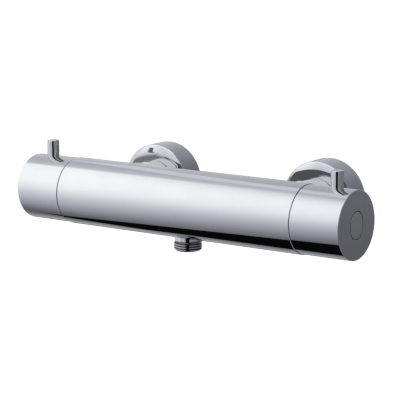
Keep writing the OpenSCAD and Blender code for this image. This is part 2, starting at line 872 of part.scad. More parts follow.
module regulating_nut() {
    color(brass) along_bar(temperature, regulating_nut_x) difference() {
        union() {
            plain_rod(regulating_nut_r, regulating_nut_l);
            translate([0, 0, regulating_nut_l - nut_key_l])
                nut_keys(regulating_nut_r + nut_key_rise, nut_key_w, nut_key_l);
        }
        translate([0, 0, -overrun]) plain_rod(nut_cavity_r, nut_cavity_l + overrun);
        translate([0, 0, clip_from_end])
            plain_rod(nut_cavity_r + clip_groove_depth, clip_groove_l);
        through_cut(spindle_thread_r, regulating_nut_l);
    }
}

module overheat_plunger() {
    color(brass) along_bar(temperature, plunger_x)
        rod(nut_cavity_r - static_fit, plunger_t, fine_bevel);
}

module overheat_spring() {
    color(steel) along_bar(temperature, overheat_spring_x)
        coil_spring(overheat_spring_mean_r, overheat_wire_r,
            overheat_spring_l, overheat_spring_turns);
}

// Open spring ring: a washer with a gap in it
module spring_clip(outer_r, inner_r, t) {
    difference() {
        tube(outer_r, inner_r, t);
        translate([0, -t, -overrun]) cube([outer_r + overrun, 2 * t, t + 2 * overrun]);
    }
}

module overheat_clip() {
    color(steel) along_bar(temperature, regulating_nut_x + clip_from_end + running_fit)
        spring_clip(nut_cavity_r + clip_groove_depth - static_fit, nut_cavity_r - clip_lip, clip_t);
}

// Splined shaft end that the handle core grips
module splined_end(from, to) {
    translate([0, 0, from]) difference() {
        rod(spline_r, to - from, fine_bevel);
        for (groove = [0:splines - 1])
            rotate([0, 0, groove * 360 / splines]) translate([spindle_r, 0, 0])
                through_cut(spline_groove_r, to - from);
    }
}

// Journal with a rubber ring in the middle of its bearing and a clip groove past it
module sealed_journal(from, bearing_end, to, ring_at) {
    difference() {
        translate([0, 0, from]) plain_rod(spindle_r, to - from);
        translate([0, 0, ring_at - stem_groove_w / 2])
            outer_groove(spindle_r, stem_groove_depth, stem_groove_w);
        translate([0, 0, bearing_end + running_fit])
            outer_groove(spindle_r, spindle_r - stem_clip_groove_r, clip_groove_l);
    }
}

module regulating_spindle() {
    ring_at = cartridge_out - bearing_l / 2;
    color(brass) along_bar(temperature, 0) {
        translate([0, 0, spindle_flange_x - spindle_nose_l])
            rod(spindle_thread_r - running_fit, spindle_nose_l, fine_bevel);
        translate([0, 0, spindle_flange_x]) plain_rod(spindle_flange_r, spindle_flange_t);
        sealed_journal(spindle_flange_x + spindle_flange_t, cartridge_out, spigot_end, ring_at);
        splined_end(spigot_end, spindle_end);
    }
}

module spindle_o_ring() {
    color(rubber) along_bar(temperature, cartridge_out - bearing_l / 2)
        rubber_ring(stem_ring_mean_r, stem_ring_r - running_fit / 2);
}

module stem_clip(side, at) {
    color(steel) along_bar(side, at + 2 * running_fit)
        spring_clip(stem_clip_r, stem_clip_groove_r + running_fit, clip_t);
}
module spindle_clip() { stem_clip(temperature, cartridge_out); }

module stop_ring() {
    color(black_plastic) along_bar(temperature, spigot_end) {
        tube(stop_ring_r, stop_ring_bore_r, stop_ring_t);
        rotate([0, 0, 90 + stop_lug_angle / 2]) rotate_extrude(angle = stop_lug_angle)
            translate([stop_ring_r - stop_lug_wall, 0])
            square([stop_lug_wall, stop_ring_t + stop_lug_rise]);
    }
}

// Handles

module glide_ring(side) {
    color(black_plastic) along_bar(side, bar_end) {
        tube(handle_r - glide_lip, spigot_r + running_fit, glide_flange_t);
        tube(glide_r, spigot_r + running_fit, glide_l);
    }
}
module temperature_glide_ring() { glide_ring(temperature); }
module flow_glide_ring() { glide_ring(flow); }

// Shell of a handle, open towards the bar, drilled for its lever pin and grub screw
module handle_shell(side) {
    difference() {
        along_bar(side, handle_start) difference() {
            rod(handle_r, handle_l, edge_bevel);
            translate([0, 0, -overrun])
                plain_rod(handle_inner_r, handle_l - handle_end_t + overrun);
        }
        on_axis(side * lever_x) {
            plain_rod(lever_r + running_fit, handle_d);
            translate([0, 0, -handle_d]) plain_rod(grub_r + free_gap, handle_d);
        }
    }
}

module oval_rod(w, h, l) {
    linear_extrude(height = l) {
        for (side = [-1, 1]) translate([side * (h - w) / 2, 0]) circle(d = w);
        square([h - w, w], center = true);
    }
}

module temperature_handle() {
    color(chrome) difference() {
        handle_shell(temperature);
        along_bar(temperature, handle_end - handle_end_t - overrun)
            oval_rod(button_w + 2 * button_gap, button_h + 2 * button_gap,
                handle_end_t + 2 * overrun);
    }
}
module flow_handle() { color(chrome) handle_shell(flow); }

module core_splines() {
    for (rib = [0:splines - 1])
        rotate([0, 0, rib * 360 / splines]) translate([spindle_r + running_fit, 0, fine_bevel])
            plain_rod(spline_groove_r - static_fit, core_l - 2 * fine_bevel);
}

module core_body(side) {
    difference() {
        along_bar(side, core_in) {
            difference() {
                rod(core_r, core_l, fine_bevel);
                through_cut(spindle_r, core_l);
            }
            core_splines();
        }
        on_axis(side * lever_x) {
            translate([0, 0, lever_foot]) plain_rod(lever_r + running_fit, core_r);
            translate([0, 0, lever_foot - lever_shank_l]) plain_rod(lever_shank_r, core_r);
            translate([0, 0, -core_r - overrun]) plain_rod(grub_r + running_fit, core_r);
        }
    }
}

module temperature_handle_core() {
    color(white_plastic) difference() {
        core_body(temperature);
        along_bar(temperature, core_in) {
            translate([0, catch_at_r, 0]) through_cut(catch_r + static_fit, core_l);
            for (side = [-1, 1])
                translate([0, side * button_stem_at, 0])
                    through_cut(button_stem_r + running_fit, core_l);
        }
    }
}
module flow_handle_core() { color(white_plastic) core_body(flow); }

module lever_pin(side) {
    color(chrome) on_axis(side * lever_x) {
        translate([0, 0, lever_foot])
            rod(lever_r, handle_r + lever_rise - lever_foot, edge_bevel);
        translate([0, 0, lever_foot - lever_shank_l + static_fit])
            plain_rod(lever_shank_r - running_fit, lever_shank_l);
    }
}
module temperature_lever_pin() { lever_pin(temperature); }
module flow_lever_pin() { lever_pin(flow); }

module grub_screw(side) {
    color(steel) on_axis(side * lever_x) translate([0, 0, -grub_out]) difference() {
        rod(grub_r, grub_out - grub_in, fine_bevel);
        translate([0, 0, -overrun])
            cylinder(r = grub_socket_r, h = grub_socket_depth + overrun, $fn = 6);
    }
}
module temperature_grub_screw() { grub_screw(temperature); }
module flow_grub_screw() { grub_screw(flow); }

// Oval button with a plate behind the handle's end, two guide stems and the catch of the stop
module stop_button() {
    color(chrome) {
        along_bar(temperature, button_plate_x) {
            plain_rod(button_plate_r, button_plate_t);
            oval_rod(button_w, button_h, handle_end - button_plate_x);
        }
        along_bar(temperature, button_plate_x - button_stem_l)
            for (side = [-1, 1]) translate([0, side * button_stem_at, 0])
                plain_rod(button_stem_r, button_stem_l + overrun);
        along_bar(temperature, catch_tip_x) translate([0, catch_at_r, 0])
            rod(catch_r, button_plate_x - catch_tip_x + overrun, fine_bevel);
    }
}

module button_spring() {
    color(steel) along_bar(temperature, core_out)
        coil_spring(button_spring_mean_r, button_wire_r, button_spring_l, button_spring_turns);
}

// Flow headwork

module headwork_housing() {
    nose_l = headwork_seat_x - nose_in;
    windows_at = nose_window_x - nose_in;
    color(brass) along_bar(flow, nose_in) difference() {
        union() {
            plain_rod(nose_r, nose_l);
            translate([0, 0, nose_l - headwork_thread_l])
                plain_rod(headwork_r, headwork_thread_l);
            translate([0, 0, nose_l])
                cylinder(r = headwork_flange_r, h = headwork_flange_t, $fn = 6);
        }
        translate([0, 0, -overrun]) plain_rod(nose_inner_r, nose_cavity_l + overrun);
        through_cut(spindle_r + running_fit, nose_l + headwork_flange_t);
        translate([-nose_window_w / 2, -headwork_r, windows_at])
            cube([nose_window_w, headwork_d, nose_window_l]);
        translate([-headwork_r, -nose_window_w / 2, windows_at])
            cube([headwork_d, nose_window_w, nose_window_l]);
        translate([0, 0, nose_l - ring_groove_w])
            outer_groove(headwork_r, ring_groove_depth, ring_groove_w);
    }
}

module headwork_o_ring() {
    section_r = ring_section_r - running_fit;
    color(rubber) along_bar(flow, headwork_seat_x - ring_groove_w / 2)
        rubber_ring(headwork_r - ring_groove_depth + section_r + running_fit, section_r);
}

module headwork_seat() {
    color(rubber) along_bar(flow, headwork_floor) tube(disc_r, seat_bore_r, seat_t);
}

// Disc with two opposite ports, drawn with the middle of the ports at the given angle
module ported_disc(port_at) {
    difference() {
        plain_rod(disc_r, disc_t);
        for (side = [0, 180])
            rotate([0, 0, port_at + side - disc_port_angle / 2])
                translate([0, 0, -overrun]) rotate_extrude(angle = disc_port_angle)
                translate([disc_port_in_r, 0])
                square([disc_port_out_r - disc_port_in_r, disc_t + 2 * overrun]);
    }
}

module fixed_disc() { color(ceramic) along_bar(flow, fixed_disc_x) ported_disc(0); }

module moving_disc() {
    color(ceramic) along_bar(flow, moving_disc_x) difference() {
        ported_disc(90);
        translate([-tongue_w / 2 - static_fit, -disc_d / 2, disc_t - tongue_depth - static_fit])
            cube([tongue_w + 2 * static_fit, disc_d, disc_t]);
    }
}

module headwork_spindle() {
    flange_x = nose_cavity_end - running_fit - spindle_flange_t;
    color(brass) along_bar(flow, 0) {
        translate([-tongue_w / 2, -spindle_flange_r, spindle_head_x - tongue_depth])
            cube([tongue_w, 2 * spindle_flange_r, tongue_depth + running_fit]);
        translate([0, 0, spindle_head_x]) plain_rod(spindle_flange_r, spindle_head_t);
        translate([0, 0, spindle_head_x]) plain_rod(spindle_stem_r, flange_x - spindle_head_x);
        translate([0, 0, flange_x]) plain_rod(spindle_flange_r, spindle_flange_t);
        sealed_journal(flange_x + spindle_flange_t, headwork_end, core_in - free_gap,
            headwork_seat_x);
        splined_end(core_in - free_gap, spindle_end);
    }
}

module headwork_spindle_o_ring() {
    color(rubber) along_bar(flow, headwork_seat_x)
        rubber_ring(stem_ring_mean_r, stem_ring_r - running_fit / 2);
}
module headwork_clip() { stem_clip(flow, headwork_end); }

valve_body();
outlet_nipple();
outlet_o_ring();
hot_union_nut();
cold_union_nut();
hot_washer();
cold_washer();
hot_strainer();
cold_strainer();
hot_union();
cold_union();
hot_rosette();
cold_rosette();
hot_rosette_ring();
cold_rosette_ring();
hot_check_housing();
cold_check_housing();
hot_check_poppet();
cold_check_poppet();
hot_check_spring();
cold_check_spring();
cartridge_housing();
cartridge_o_rings();
cartridge_nut();
shuttle();
wax_element();
shuttle_spring();
regulating_nut();
overheat_plunger();
overheat_spring();
overheat_clip();
regulating_spindle();
spindle_o_ring();
spindle_clip();
stop_ring();
temperature_glide_ring();
temperature_handle_core();
temperature_handle();
temperature_lever_pin();
temperature_grub_screw();
stop_button();
button_spring();
headwork_housing();
headwork_o_ring();
headwork_seat();
fixed_disc();
moving_disc();
headwork_spindle();
headwork_spindle_o_ring();
headwork_clip();
flow_glide_ring();
flow_handle_core();
flow_handle();
flow_lever_pin();
flow_grub_screw();
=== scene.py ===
# %% [markdown]
# A thermostatic bar valve for a shower: a round chromed bar with a turning handle at each end.
# Nearly all that shows is mirror chrome, so the scene is mostly about two things: surfaces that
# face exactly the right way at every point, and a studio that gives the mirror something to show.

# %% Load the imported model
import json
import math

import bpy
from mathutils import Matrix, Vector

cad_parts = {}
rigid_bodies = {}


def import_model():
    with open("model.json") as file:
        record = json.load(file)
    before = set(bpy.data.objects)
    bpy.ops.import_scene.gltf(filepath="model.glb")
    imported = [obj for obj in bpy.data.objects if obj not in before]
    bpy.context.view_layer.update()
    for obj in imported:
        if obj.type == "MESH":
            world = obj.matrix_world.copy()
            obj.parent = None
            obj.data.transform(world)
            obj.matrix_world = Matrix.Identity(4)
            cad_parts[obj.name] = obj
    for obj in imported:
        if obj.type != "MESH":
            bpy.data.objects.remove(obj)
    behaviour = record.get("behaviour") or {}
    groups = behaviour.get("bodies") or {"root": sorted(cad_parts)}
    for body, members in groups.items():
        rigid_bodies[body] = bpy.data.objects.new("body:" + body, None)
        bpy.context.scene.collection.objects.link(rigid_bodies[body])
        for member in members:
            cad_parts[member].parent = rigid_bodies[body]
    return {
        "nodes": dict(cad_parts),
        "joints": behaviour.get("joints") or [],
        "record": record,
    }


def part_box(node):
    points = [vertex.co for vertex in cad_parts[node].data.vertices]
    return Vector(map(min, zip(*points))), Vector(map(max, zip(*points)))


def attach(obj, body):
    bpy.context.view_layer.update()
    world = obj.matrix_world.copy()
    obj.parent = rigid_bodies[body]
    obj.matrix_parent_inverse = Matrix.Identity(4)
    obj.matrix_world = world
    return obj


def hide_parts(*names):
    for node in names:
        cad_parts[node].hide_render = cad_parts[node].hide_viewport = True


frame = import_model()
START_OBJECTS = ("Cube", "Light", "Camera")
for leftover in [o for o in bpy.data.objects if o.name in START_OBJECTS]:
    bpy.data.objects.remove(leftover)
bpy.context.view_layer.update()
nodes = frame["nodes"]
MM = 0.001

# %% [markdown]
# The bar's axis runs along X. Both handles turn about it, so a hinge gives its place, and the
# boxes of the solids give the other sizes. Only the small sizes that a box can't tell are
# written here, in millimetres as on a drawing.

# %% Sizes read from the frame
turning = next(j for j in frame["joints"] if j["type"] == "hinge")
AXIS_Y, AXIS_Z = turning["pos_m"][1], turning["pos_m"][2]


def width(node, axis):
    low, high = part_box(node)
    return high[axis] - low[axis]


X, Y = 0, 1
BAR_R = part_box("valve_body")[1].z - AXIS_Z
HANDLE_R = width("temperature_handle", Y) / 2
HANDLE_START, HANDLE_END = (corner.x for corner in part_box("temperature_handle"))
PIN_R = width("temperature_lever_pin", X) / 2
PIN_AT = sum(corner.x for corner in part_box("temperature_lever_pin")) / 2
PIN_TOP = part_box("temperature_lever_pin")[1].z - AXIS_Z
PIN_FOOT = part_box("temperature_lever_pin")[0].z - AXIS_Z
print("the bar's axis lies at y", AXIS_Y, "z", AXIS_Z, "and its radius is", round(BAR_R, 5))

# %% [markdown]
# The camera stands to the right of the valve and a little above it. Its place was worked out from
# the outlines in the photograph: the azimuth and elevation, a small roll, and a long lens from
# over a metre away, which is how such a product is photographed.

# %% Camera
AZIMUTH, ELEVATION, ROLL = math.radians(35.773), math.radians(10.859), math.radians(-0.6)
DISTANCE = 1.295
LENS_MM = 158.36
TARGET = Vector((11.34 * MM, AXIS_Y, AXIS_Z + 4.19 * MM))
NEAREST, FARTHEST = 0.05, 50


def make_camera():
    back = Vector((math.sin(AZIMUTH) * math.cos(ELEVATION),
                   -math.cos(AZIMUTH) * math.cos(ELEVATION), math.sin(ELEVATION)))
    level = back.cross(Vector((0, 0, 1))).normalized() * -1
    upright = back.cross(level)
    right = level * math.cos(ROLL) + upright * math.sin(ROLL)
    up = upright * math.cos(ROLL) - level * math.sin(ROLL)
    camera = bpy.data.objects.new("camera", bpy.data.cameras.new("camera"))
    bpy.context.scene.collection.objects.link(camera)
    turned = Matrix((right, up, back)).transposed().to_4x4()
    camera.matrix_world = Matrix.Translation(TARGET + back * DISTANCE) @ turned
    camera.data.lens = LENS_MM
    camera.data.clip_start, camera.data.clip_end = NEAREST, FARTHEST
    bpy.context.scene.camera = camera
    return camera


camera = make_camera()
bpy.context.scene.view_settings.view_transform = "Standard"
print("camera at", [round(c, 3) for c in camera.location])

# %% [markdown]
# Chrome has no colour of its own: it shows the room. A plain white room would make the valve
# vanish, so the studio is painted in bands round the bar's axis, as a photographer sets it with
# a large softbox overhead, a bright sweep in front that falls off downwards, and a dark wall.
# Its greys are a little bluer where they are darker. A few short helpers build the nodes.

# %% Node helpers


def node_maker(tree):
    """A short way to add a node, set its values and link its inputs."""
    def add(kind, values=(), links=(), **settings):
        made = tree.nodes.new(kind)
        for name, value in settings.items():
            setattr(made, name, value)
        for key, value in dict(values).items():
            made.inputs[key].default_value = value
        for key, source in dict(links).items():
            tree.links.new(source, made.inputs[key])
        return made
    return add


def set_stops(ramp, stops):
    """Fills a colour ramp from pairs of place and colour."""
    while len(ramp.elements) > 1:
        ramp.elements.remove(ramp.elements[-1])
    ramp.elements[0].position = stops[0][0]
    ramp.elements[0].color = (*stops[0][1], 1)
    for place, colour in stops[1:]:
        ramp.elements.new(place).color = (*colour, 1)


print("node helpers:", node_maker.__name__, "and", set_stops.__name__)

# %% [markdown]
# Each band is a pair of angle and level. An angle of 0 degrees looks forwards, 90 up, -90 down and
# 180 back to the wall. Looks to the left, the middle and the right have bands of their own, and the
# wall has levels from its left (-1) to its right (1). Each pair of places says where one of these
# passes into the next, as the look's share along X for left and right, Y for back and Z for up.

# %% Bands of the studio
LEFT_BANDS = ((-180, 0.04), (-165, 0.06), (-150, 0.18), (-136, 0.22), (-120, 0.18), (-98, 0.12),
              (-88, 0.125), (-80, 0.17), (-64, 0.28), (-48, 0.395), (-24, 0.585), (-8, 0.745),
              (8, 0.905), (16, 0.965), (32, 1.04), (60, 1.06), (80, 1.03), (91, 0.98),
              (97, 0.62), (106, 0.52), (120, 0.45), (150, 0.40), (160, 0.32), (170, 0.20),
              (180, 0.04))
MIDDLE_BANDS = ((-180, 0.04), (-165, 0.06), (-150, 0.14), (-120, 0.14), (-90, 0.08), (-64, 0.12),
                (-48, 0.207), (-24, 0.38), (-8, 0.52), (8, 0.70), (16, 0.79), (24, 0.865),
                (32, 0.91), (48, 0.965), (60, 0.965), (72, 0.895), (80, 0.805), (88, 0.68),
                (96, 0.53), (112, 0.46), (136, 0.39), (144, 0.34), (160, 0.26), (170, 0.20),
                (180, 0.04))
RIGHT_BANDS = ((-180, 0.05), (-166, 0.12), (-148, 0.19), (-30, 0.20), (0, 0.24), (30, 0.40),
               (60, 0.42), (90, 0.30), (110, 0.14), (180, 0.10))
BACK_LEVELS = ((-0.65, 0.44), (-0.52, 0.37), (-0.2, 0.29), (0.2, 0.22), (0.5, 0.143),
               (0.62, 0.135), (0.8, 0.19), (1, 0.20))
HORIZON_PLACES = (-0.215, -0.16)
HORIZON_LEVELS = (0.80, 1.12)
MIDDLE_PLACES = (-0.63, -0.51)
RIGHT_PLACES = (0.12, 0.38)
FAR_LEFT_PLACES = (-0.72, -0.85)
FAR_LEFT_LEVEL = 0.62
BACK_PLACES = (0.30, 0.60)
STUDIO_LEVEL = 1.45
RED_GREEN_SHARE = 0.985
BLUE_SHARE = 1.13
BLUE_LOSS_SHARE = 0.12
SKY_FOR_PLAIN_SURFACES = 0.7


def cool_tint(level):
    """Shares of red, green and blue in a grey of the studio at the given level."""
    return RED_GREEN_SHARE, RED_GREEN_SHARE, BLUE_SHARE - BLUE_LOSS_SHARE * level


def tinted(level):
    return [level * share for share in cool_tint(level)]


def band_stops(bands):
    return [(0.5 + angle / 360, tinted(level)) for angle, level in bands]


def blend(add, value, places, first, second):
    """Goes from the first colour to the second while the value goes between two places."""
    share = add("ShaderNodeMapRange", {"From Min": places[0], "From Max": places[1]},
                {"Value": value})
    mix = add("ShaderNodeMix", links={"Factor": share.outputs[0], 6: first, 7: second},
              data_type="RGBA")
    return mix.outputs[2]


def paint_studio(add):
    """The colour that a mirror sees each way it looks."""
    way = add("ShaderNodeSeparateXYZ",
              links={0: add("ShaderNodeTexCoord").outputs["Generated"]}).outputs
    forwards = add("ShaderNodeMath", {1: -1.0}, {0: way["Y"]}, operation="MULTIPLY").outputs[0]
    angle = add("ShaderNodeMath", links={0: way["Z"], 1: forwards}, operation="ARCTAN2")
    turn = add("ShaderNodeMapRange",
               {"From Min": -math.pi, "From Max": math.pi}, {"Value": angle.outputs[0]})
    bands = []
    for stops in (LEFT_BANDS, MIDDLE_BANDS, RIGHT_BANDS):
        ramp = add("ShaderNodeValToRGB", links={0: turn.outputs[0]})
        set_stops(ramp.color_ramp, band_stops(stops))
        bands.append(ramp.outputs[0])
    painted = blend(add, way["X"], MIDDLE_PLACES, bands[0], bands[1])
    painted = blend(add, way["X"], RIGHT_PLACES, painted, bands[2])
    across = add("ShaderNodeMapRange", {"From Min": -1.0, "From Max": 1.0}, {"Value": way["X"]})
    back = add("ShaderNodeValToRGB", links={0: across.outputs[0]})
    set_stops(back.color_ramp, [((place + 1) / 2, tinted(level)) for place, level in BACK_LEVELS])
    horizon = add("ShaderNodeMapRange", {"From Min": HORIZON_PLACES[0],
                                         "From Max": HORIZON_PLACES[1],
                                         "To Min": HORIZON_LEVELS[0],
                                         "To Max": HORIZON_LEVELS[1]}, {"Value": way["Z"]})
    back_wall = add("ShaderNodeVectorMath", links={0: back.outputs[0], 1: horizon.outputs[0]},
                    operation="MULTIPLY")
    painted = blend(add, way["Y"], BACK_PLACES, painted, back_wall.outputs[0])
    far_left = add("ShaderNodeRGB")
    far_left.outputs[0].default_value = (*tinted(FAR_LEFT_LEVEL), 1)
    return blend(add, way["X"], FAR_LEFT_PLACES, painted, far_left.outputs[0])


def make_world():
    """Mirrors see the painted studio, plain surfaces an even light, and the camera white."""
    world = bpy.data.worlds.new("studio")
    bpy.context.scene.world = world
    world.use_nodes = True
    world.node_tree.nodes.clear()
    add = node_maker(world.node_tree)
    path = add("ShaderNodeLightPath").outputs
    mirrored = add("ShaderNodeBackground", {"Strength": STUDIO_LEVEL},
                   {"Color": paint_studio(add)})
    plain = add("ShaderNodeBackground", {"Color": (1, 1, 1, 1),
                                         "Strength": SKY_FOR_PLAIN_SURFACES})
    white = add("ShaderNodeBackground", {"Color": (1, 1, 1, 1), "Strength": 1.0})
    unseen = add("ShaderNodeMixShader", links={0: path["Is Glossy Ray"], 1: plain.outputs[0],
                                               2: mirrored.outputs[0]})
    seen = add("ShaderNodeMixShader", links={0: path["Is Camera Ray"], 1: unseen.outputs[0],
                                             2: white.outputs[0]})
    add("ShaderNodeOutputWorld", links={0: seen.outputs[0]})
    return world


make_world()
print("studio bands:", len(LEFT_BANDS), "on the left,", len(RIGHT_BANDS), "on the right")

# %% [markdown]
# A photographer also hangs cards close to a mirror-like product, because a dark line along an edge
# makes the metal read as metal. Cards are near, so unlike the bands they slide along the product:
# the black one below draws a line that widens to the right, and a light one above draws a pale
# streak. A tall black one round the camera gives every upright pin its dark line. Only
# reflections see them.

# %% Cards
CLOTH_GREY = 0.004
BELOW_DROP = 0.30
BELOW_OUTLINE = ((-0.375, -0.040), (-0.300, 0.020), (-0.262, 0.042), (-0.205, 0.016),
                 (0.100, 0.000), (0.100, -0.372))
ABOVE_RISE = 0.30
ABOVE_OUTLINE = ((-0.440, 0.200), (-0.400, 0.290), (-0.200, 0.125), (0.020, 0.040),
                 (0.020, -0.035), (-0.200, 0.015))
ABOVE_LEVEL = 0.62
CARD_DISTANCE = 1.1
FRONT_CARD = (-77, -42), (-1.6, 2.6)
BACK_CARD = (84, 142), (-0.5, 0.03)


def plain_material(name, colour, glow=0.0, glow_colour=(1, 1, 1)):
    """A dull material without shine, for the things that are not part of the valve."""
    material = bpy.data.materials.new(name)
    material.use_nodes = True
    shader = material.node_tree.nodes["Principled BSDF"]
    shader.inputs["Base Color"].default_value = (*colour, 1)
    shader.inputs["Roughness"].default_value = 1.0
    shader.inputs["Specular IOR Level"].default_value = 0.0
    shader.inputs["Emission Color"].default_value = (*glow_colour, 1)
    shader.inputs["Emission Strength"].default_value = glow
    return material


def make_card(name, corners, material, faces=None):
    """A card that only reflections see, with one face unless others are given."""
    mesh = bpy.data.meshes.new(name)
    mesh.from_pydata(corners, [], faces or [range(len(corners))])
    card = bpy.data.objects.new(name, mesh)
    bpy.context.scene.collection.objects.link(card)
    mesh.materials.append(material)
    card.visible_camera = False
    card.visible_diffuse = False
    card.visible_shadow = False
    return card


def upright_corners(azimuths, heights):
    """Corners of an upright card round the bar, between two azimuths and two heights."""
    low, high = heights
    for azimuth, ends in zip(azimuths, ((low, high), (high, low))):
        turn = math.radians(azimuth)
        for height in ends:
            yield (CARD_DISTANCE * math.cos(turn), AXIS_Y + CARD_DISTANCE * math.sin(turn),
                   AXIS_Z + height)


black_cloth = plain_material("black_cloth", (CLOTH_GREY, CLOTH_GREY, CLOTH_GREY))
light_card = plain_material("light_card", (0, 0, 0), ABOVE_LEVEL * STUDIO_LEVEL,
                            cool_tint(ABOVE_LEVEL))
make_card("card_below", [(x, y, AXIS_Z - BELOW_DROP) for x, y in BELOW_OUTLINE], black_cloth)
make_card("card_above", [(x, y, AXIS_Z + ABOVE_RISE) for x, y in ABOVE_OUTLINE], light_card)
make_card("card_in_front", list(upright_corners(*FRONT_CARD)), black_cloth)
make_card("card_behind", list(upright_corners(*BACK_CARD)), black_cloth)
print("cards below, above, in front of and behind the bar")

# %% [markdown]
# The rosettes mirror the bar's back, and in the photograph that image is dark, the right one most
# of all. Curved cards close behind the bar stand for it. They glow outwards only: seen from the
# bar they are clear, so its own reflections pass through. Each has its two ends along the bar, its
# two edges in degrees above the way to the wall, and the level of its glow.

# %% Curved cards behind the bar
SHELL_GAP = 1.5 * MM
SHELL_STEPS = 16
SHELLS = {"shell_left": ((-0.143, -0.091), (-20, 34), 0.27),
          "shell_middle": ((-0.091, -0.040), (-20, 46), 0.10),
          "shell_right": ((0.006, 0.100), (-20, 62), 0.125)}


def one_way_glow(name, level):
    """A material that glows on its front and is clear from behind."""
    material = bpy.data.materials.new(name)
    material.use_nodes = True
    material.node_tree.nodes.clear()
    add = node_maker(material.node_tree)
    glow = add("ShaderNodeEmission", {"Color": (*tinted(level), 1)})
    clear = add("ShaderNodeBsdfTransparent")
    inside = add("ShaderNodeNewGeometry").outputs["Backfacing"]
    mixed = add("ShaderNodeMixShader", links={0: inside, 1: glow.outputs[0],
                                              2: clear.outputs[0]})
    add("ShaderNodeOutputMaterial", links={0: mixed.outputs[0]})
    return material


def make_shell(name, ends, turns, level):
    """A card bent round the bar between two ends and two turns."""
    corners = []
    for step in range(SHELL_STEPS + 1):
        turn = turns[0] + (turns[1] - turns[0]) * step / SHELL_STEPS
        out = Vector((0, math.cos(math.radians(turn)), math.sin(math.radians(turn))))
        corners += [Vector((x, AXIS_Y, AXIS_Z)) + out * (BAR_R + SHELL_GAP) for x in ends]
    faces = [(2 * i, 2 * i + 2, 2 * i + 3, 2 * i + 1) for i in range(SHELL_STEPS)]
    return make_card(name, corners, one_way_glow(f"{name}_glow", level), faces)


for name, sizes in SHELLS.items():
    make_shell(name, *sizes)
print("curved cards:", len(SHELLS), "each in", SHELL_STEPS, "faces")

# %% [markdown]
# The floor is a pale sweep well below the valve. The camera sees it as white, as in a product
# photograph, but it still takes the valve's soft shadow, because only part of its light is its
# own. Reflections don't see it: the studio's bands are there for them.

# %% Floor and lamp
FLOOR_DROP = 0.32
FLOOR_SIZE = 12.0
LAMP_AT = Vector((0.1, -0.5, 1.3))
LAMP_SIZE = 1.1
LAMP_WATTS = 9.0
FLOOR_GREY = 0.9
FLOOR_GLOW = 0.4


def make_floor():
    bpy.ops.mesh.primitive_plane_add(size=FLOOR_SIZE, location=(0, 0, AXIS_Z - FLOOR_DROP))
    floor = bpy.context.object
    floor.name = "floor"
    floor.visible_glossy = False
    floor.data.materials.append(plain_material("pale_floor", (FLOOR_GREY, FLOOR_GREY, FLOOR_GREY),
                                               FLOOR_GLOW))
    return floor


def make_lamp():
    lamp = bpy.data.objects.new("softbox", bpy.data.lights.new("softbox", "AREA"))
    bpy.context.scene.collection.objects.link(lamp)
    lamp.location = LAMP_AT
    lamp.rotation_euler = (TARGET - LAMP_AT).to_track_quat("-Z", "Y").to_euler()
    lamp.data.size = LAMP_SIZE
    lamp.data.energy = LAMP_WATTS
    lamp.visible_glossy = False
    return lamp


floor = make_floor()
make_lamp()
print("floor at z", round(floor.location.z, 3), "and one soft lamp above")

# %% [markdown]
# Chrome plate is nickel and a thin film of chromium over brass that was polished on a wheel. It
# mirrors almost sharply, but not as flat glass does: the wheel leaves very fine lines round each
# turned piece and a slight unevenness, like the skin of an orange. The chrome here has only the
# unevenness and a shine that varies a little, so reflections shiver a little.

# %% Materials
CLOUD_LOW, CLOUD_HIGH = 0.3, 0.7


def new_material(name):
    material = bpy.data.materials.new(name)
    material.use_nodes = True
    shader = material.node_tree.nodes["Principled BSDF"]
    return material, shader, node_maker(material.node_tree)


def place_in_mm(add, stretch=(1, 1, 1)):
    """The point's place on the piece in millimetres, for textures at a true scale."""
    scale = [part / MM for part in stretch]
    return add("ShaderNodeMapping", {"Scale": scale},
               {"Vector": add("ShaderNodeTexCoord").outputs["Object"]}).outputs[0]


def mottle(add, size_mm, low, high, stretch=(1, 1, 1), detail=3.0):
    """A value that wanders between low and high over patches of the given size."""
    cloud = add("ShaderNodeTexNoise", {"Scale": 1 / size_mm, "Detail": detail},
                {"Vector": place_in_mm(add, stretch)})
    return add("ShaderNodeMapRange",
               {"From Min": CLOUD_LOW, "From Max": CLOUD_HIGH, "To Min": low, "To Max": high},
               {"Value": cloud.outputs[0]}).outputs[0]


def two_tones(add, factor, first, second):
    mix = add("ShaderNodeMix", links={"Factor": factor}, data_type="RGBA")
    mix.inputs[6].default_value = (*first, 1)
    mix.inputs[7].default_value = (*second, 1)
    return mix.outputs[2]


def relief(add, shader, height, depth_mm):
    """Bumps of the given depth, from a height that runs from 0 to 1."""
    bump = add("ShaderNodeBump", {"Strength": 1.0, "Distance": depth_mm * MM},
               {"Height": height})
    shader.id_data.links.new(bump.outputs[0], shader.inputs["Normal"])


def link(shader, name, value):
    shader.id_data.links.new(value, shader.inputs[name])


def make_chrome(name="chrome_plate", first=(0.590, 0.595, 0.605), second=(0.615, 0.62, 0.63)):
    chrome, shader, add = new_material(name)
    shader.inputs["Metallic"].default_value = 1.0
    tone = two_tones(add, mottle(add, 22, 0.0, 1.0), first, second)
    link(shader, "Base Color", tone)
    link(shader, "Roughness", mottle(add, 3.5, 0.022, 0.05, detail=6.0))
    relief(add, shader, mottle(add, 2.2, 0.0, 1.0, detail=1.0), 0.0004)
    return chrome


def make_brass():
    brass, shader, add = new_material("turned_brass")
    shader.inputs["Metallic"].default_value = 1.0
    tone = two_tones(add, mottle(add, 6, 0.0, 1.0), (0.80, 0.58, 0.27), (0.68, 0.46, 0.20))
    link(shader, "Base Color", tone)
    link(shader, "Roughness", mottle(add, 1.2, 0.22, 0.38))
    relief(add, shader, mottle(add, 1.0, 0.0, 1.0, stretch=(0.3, 5, 0.3)), 0.012)
    return brass


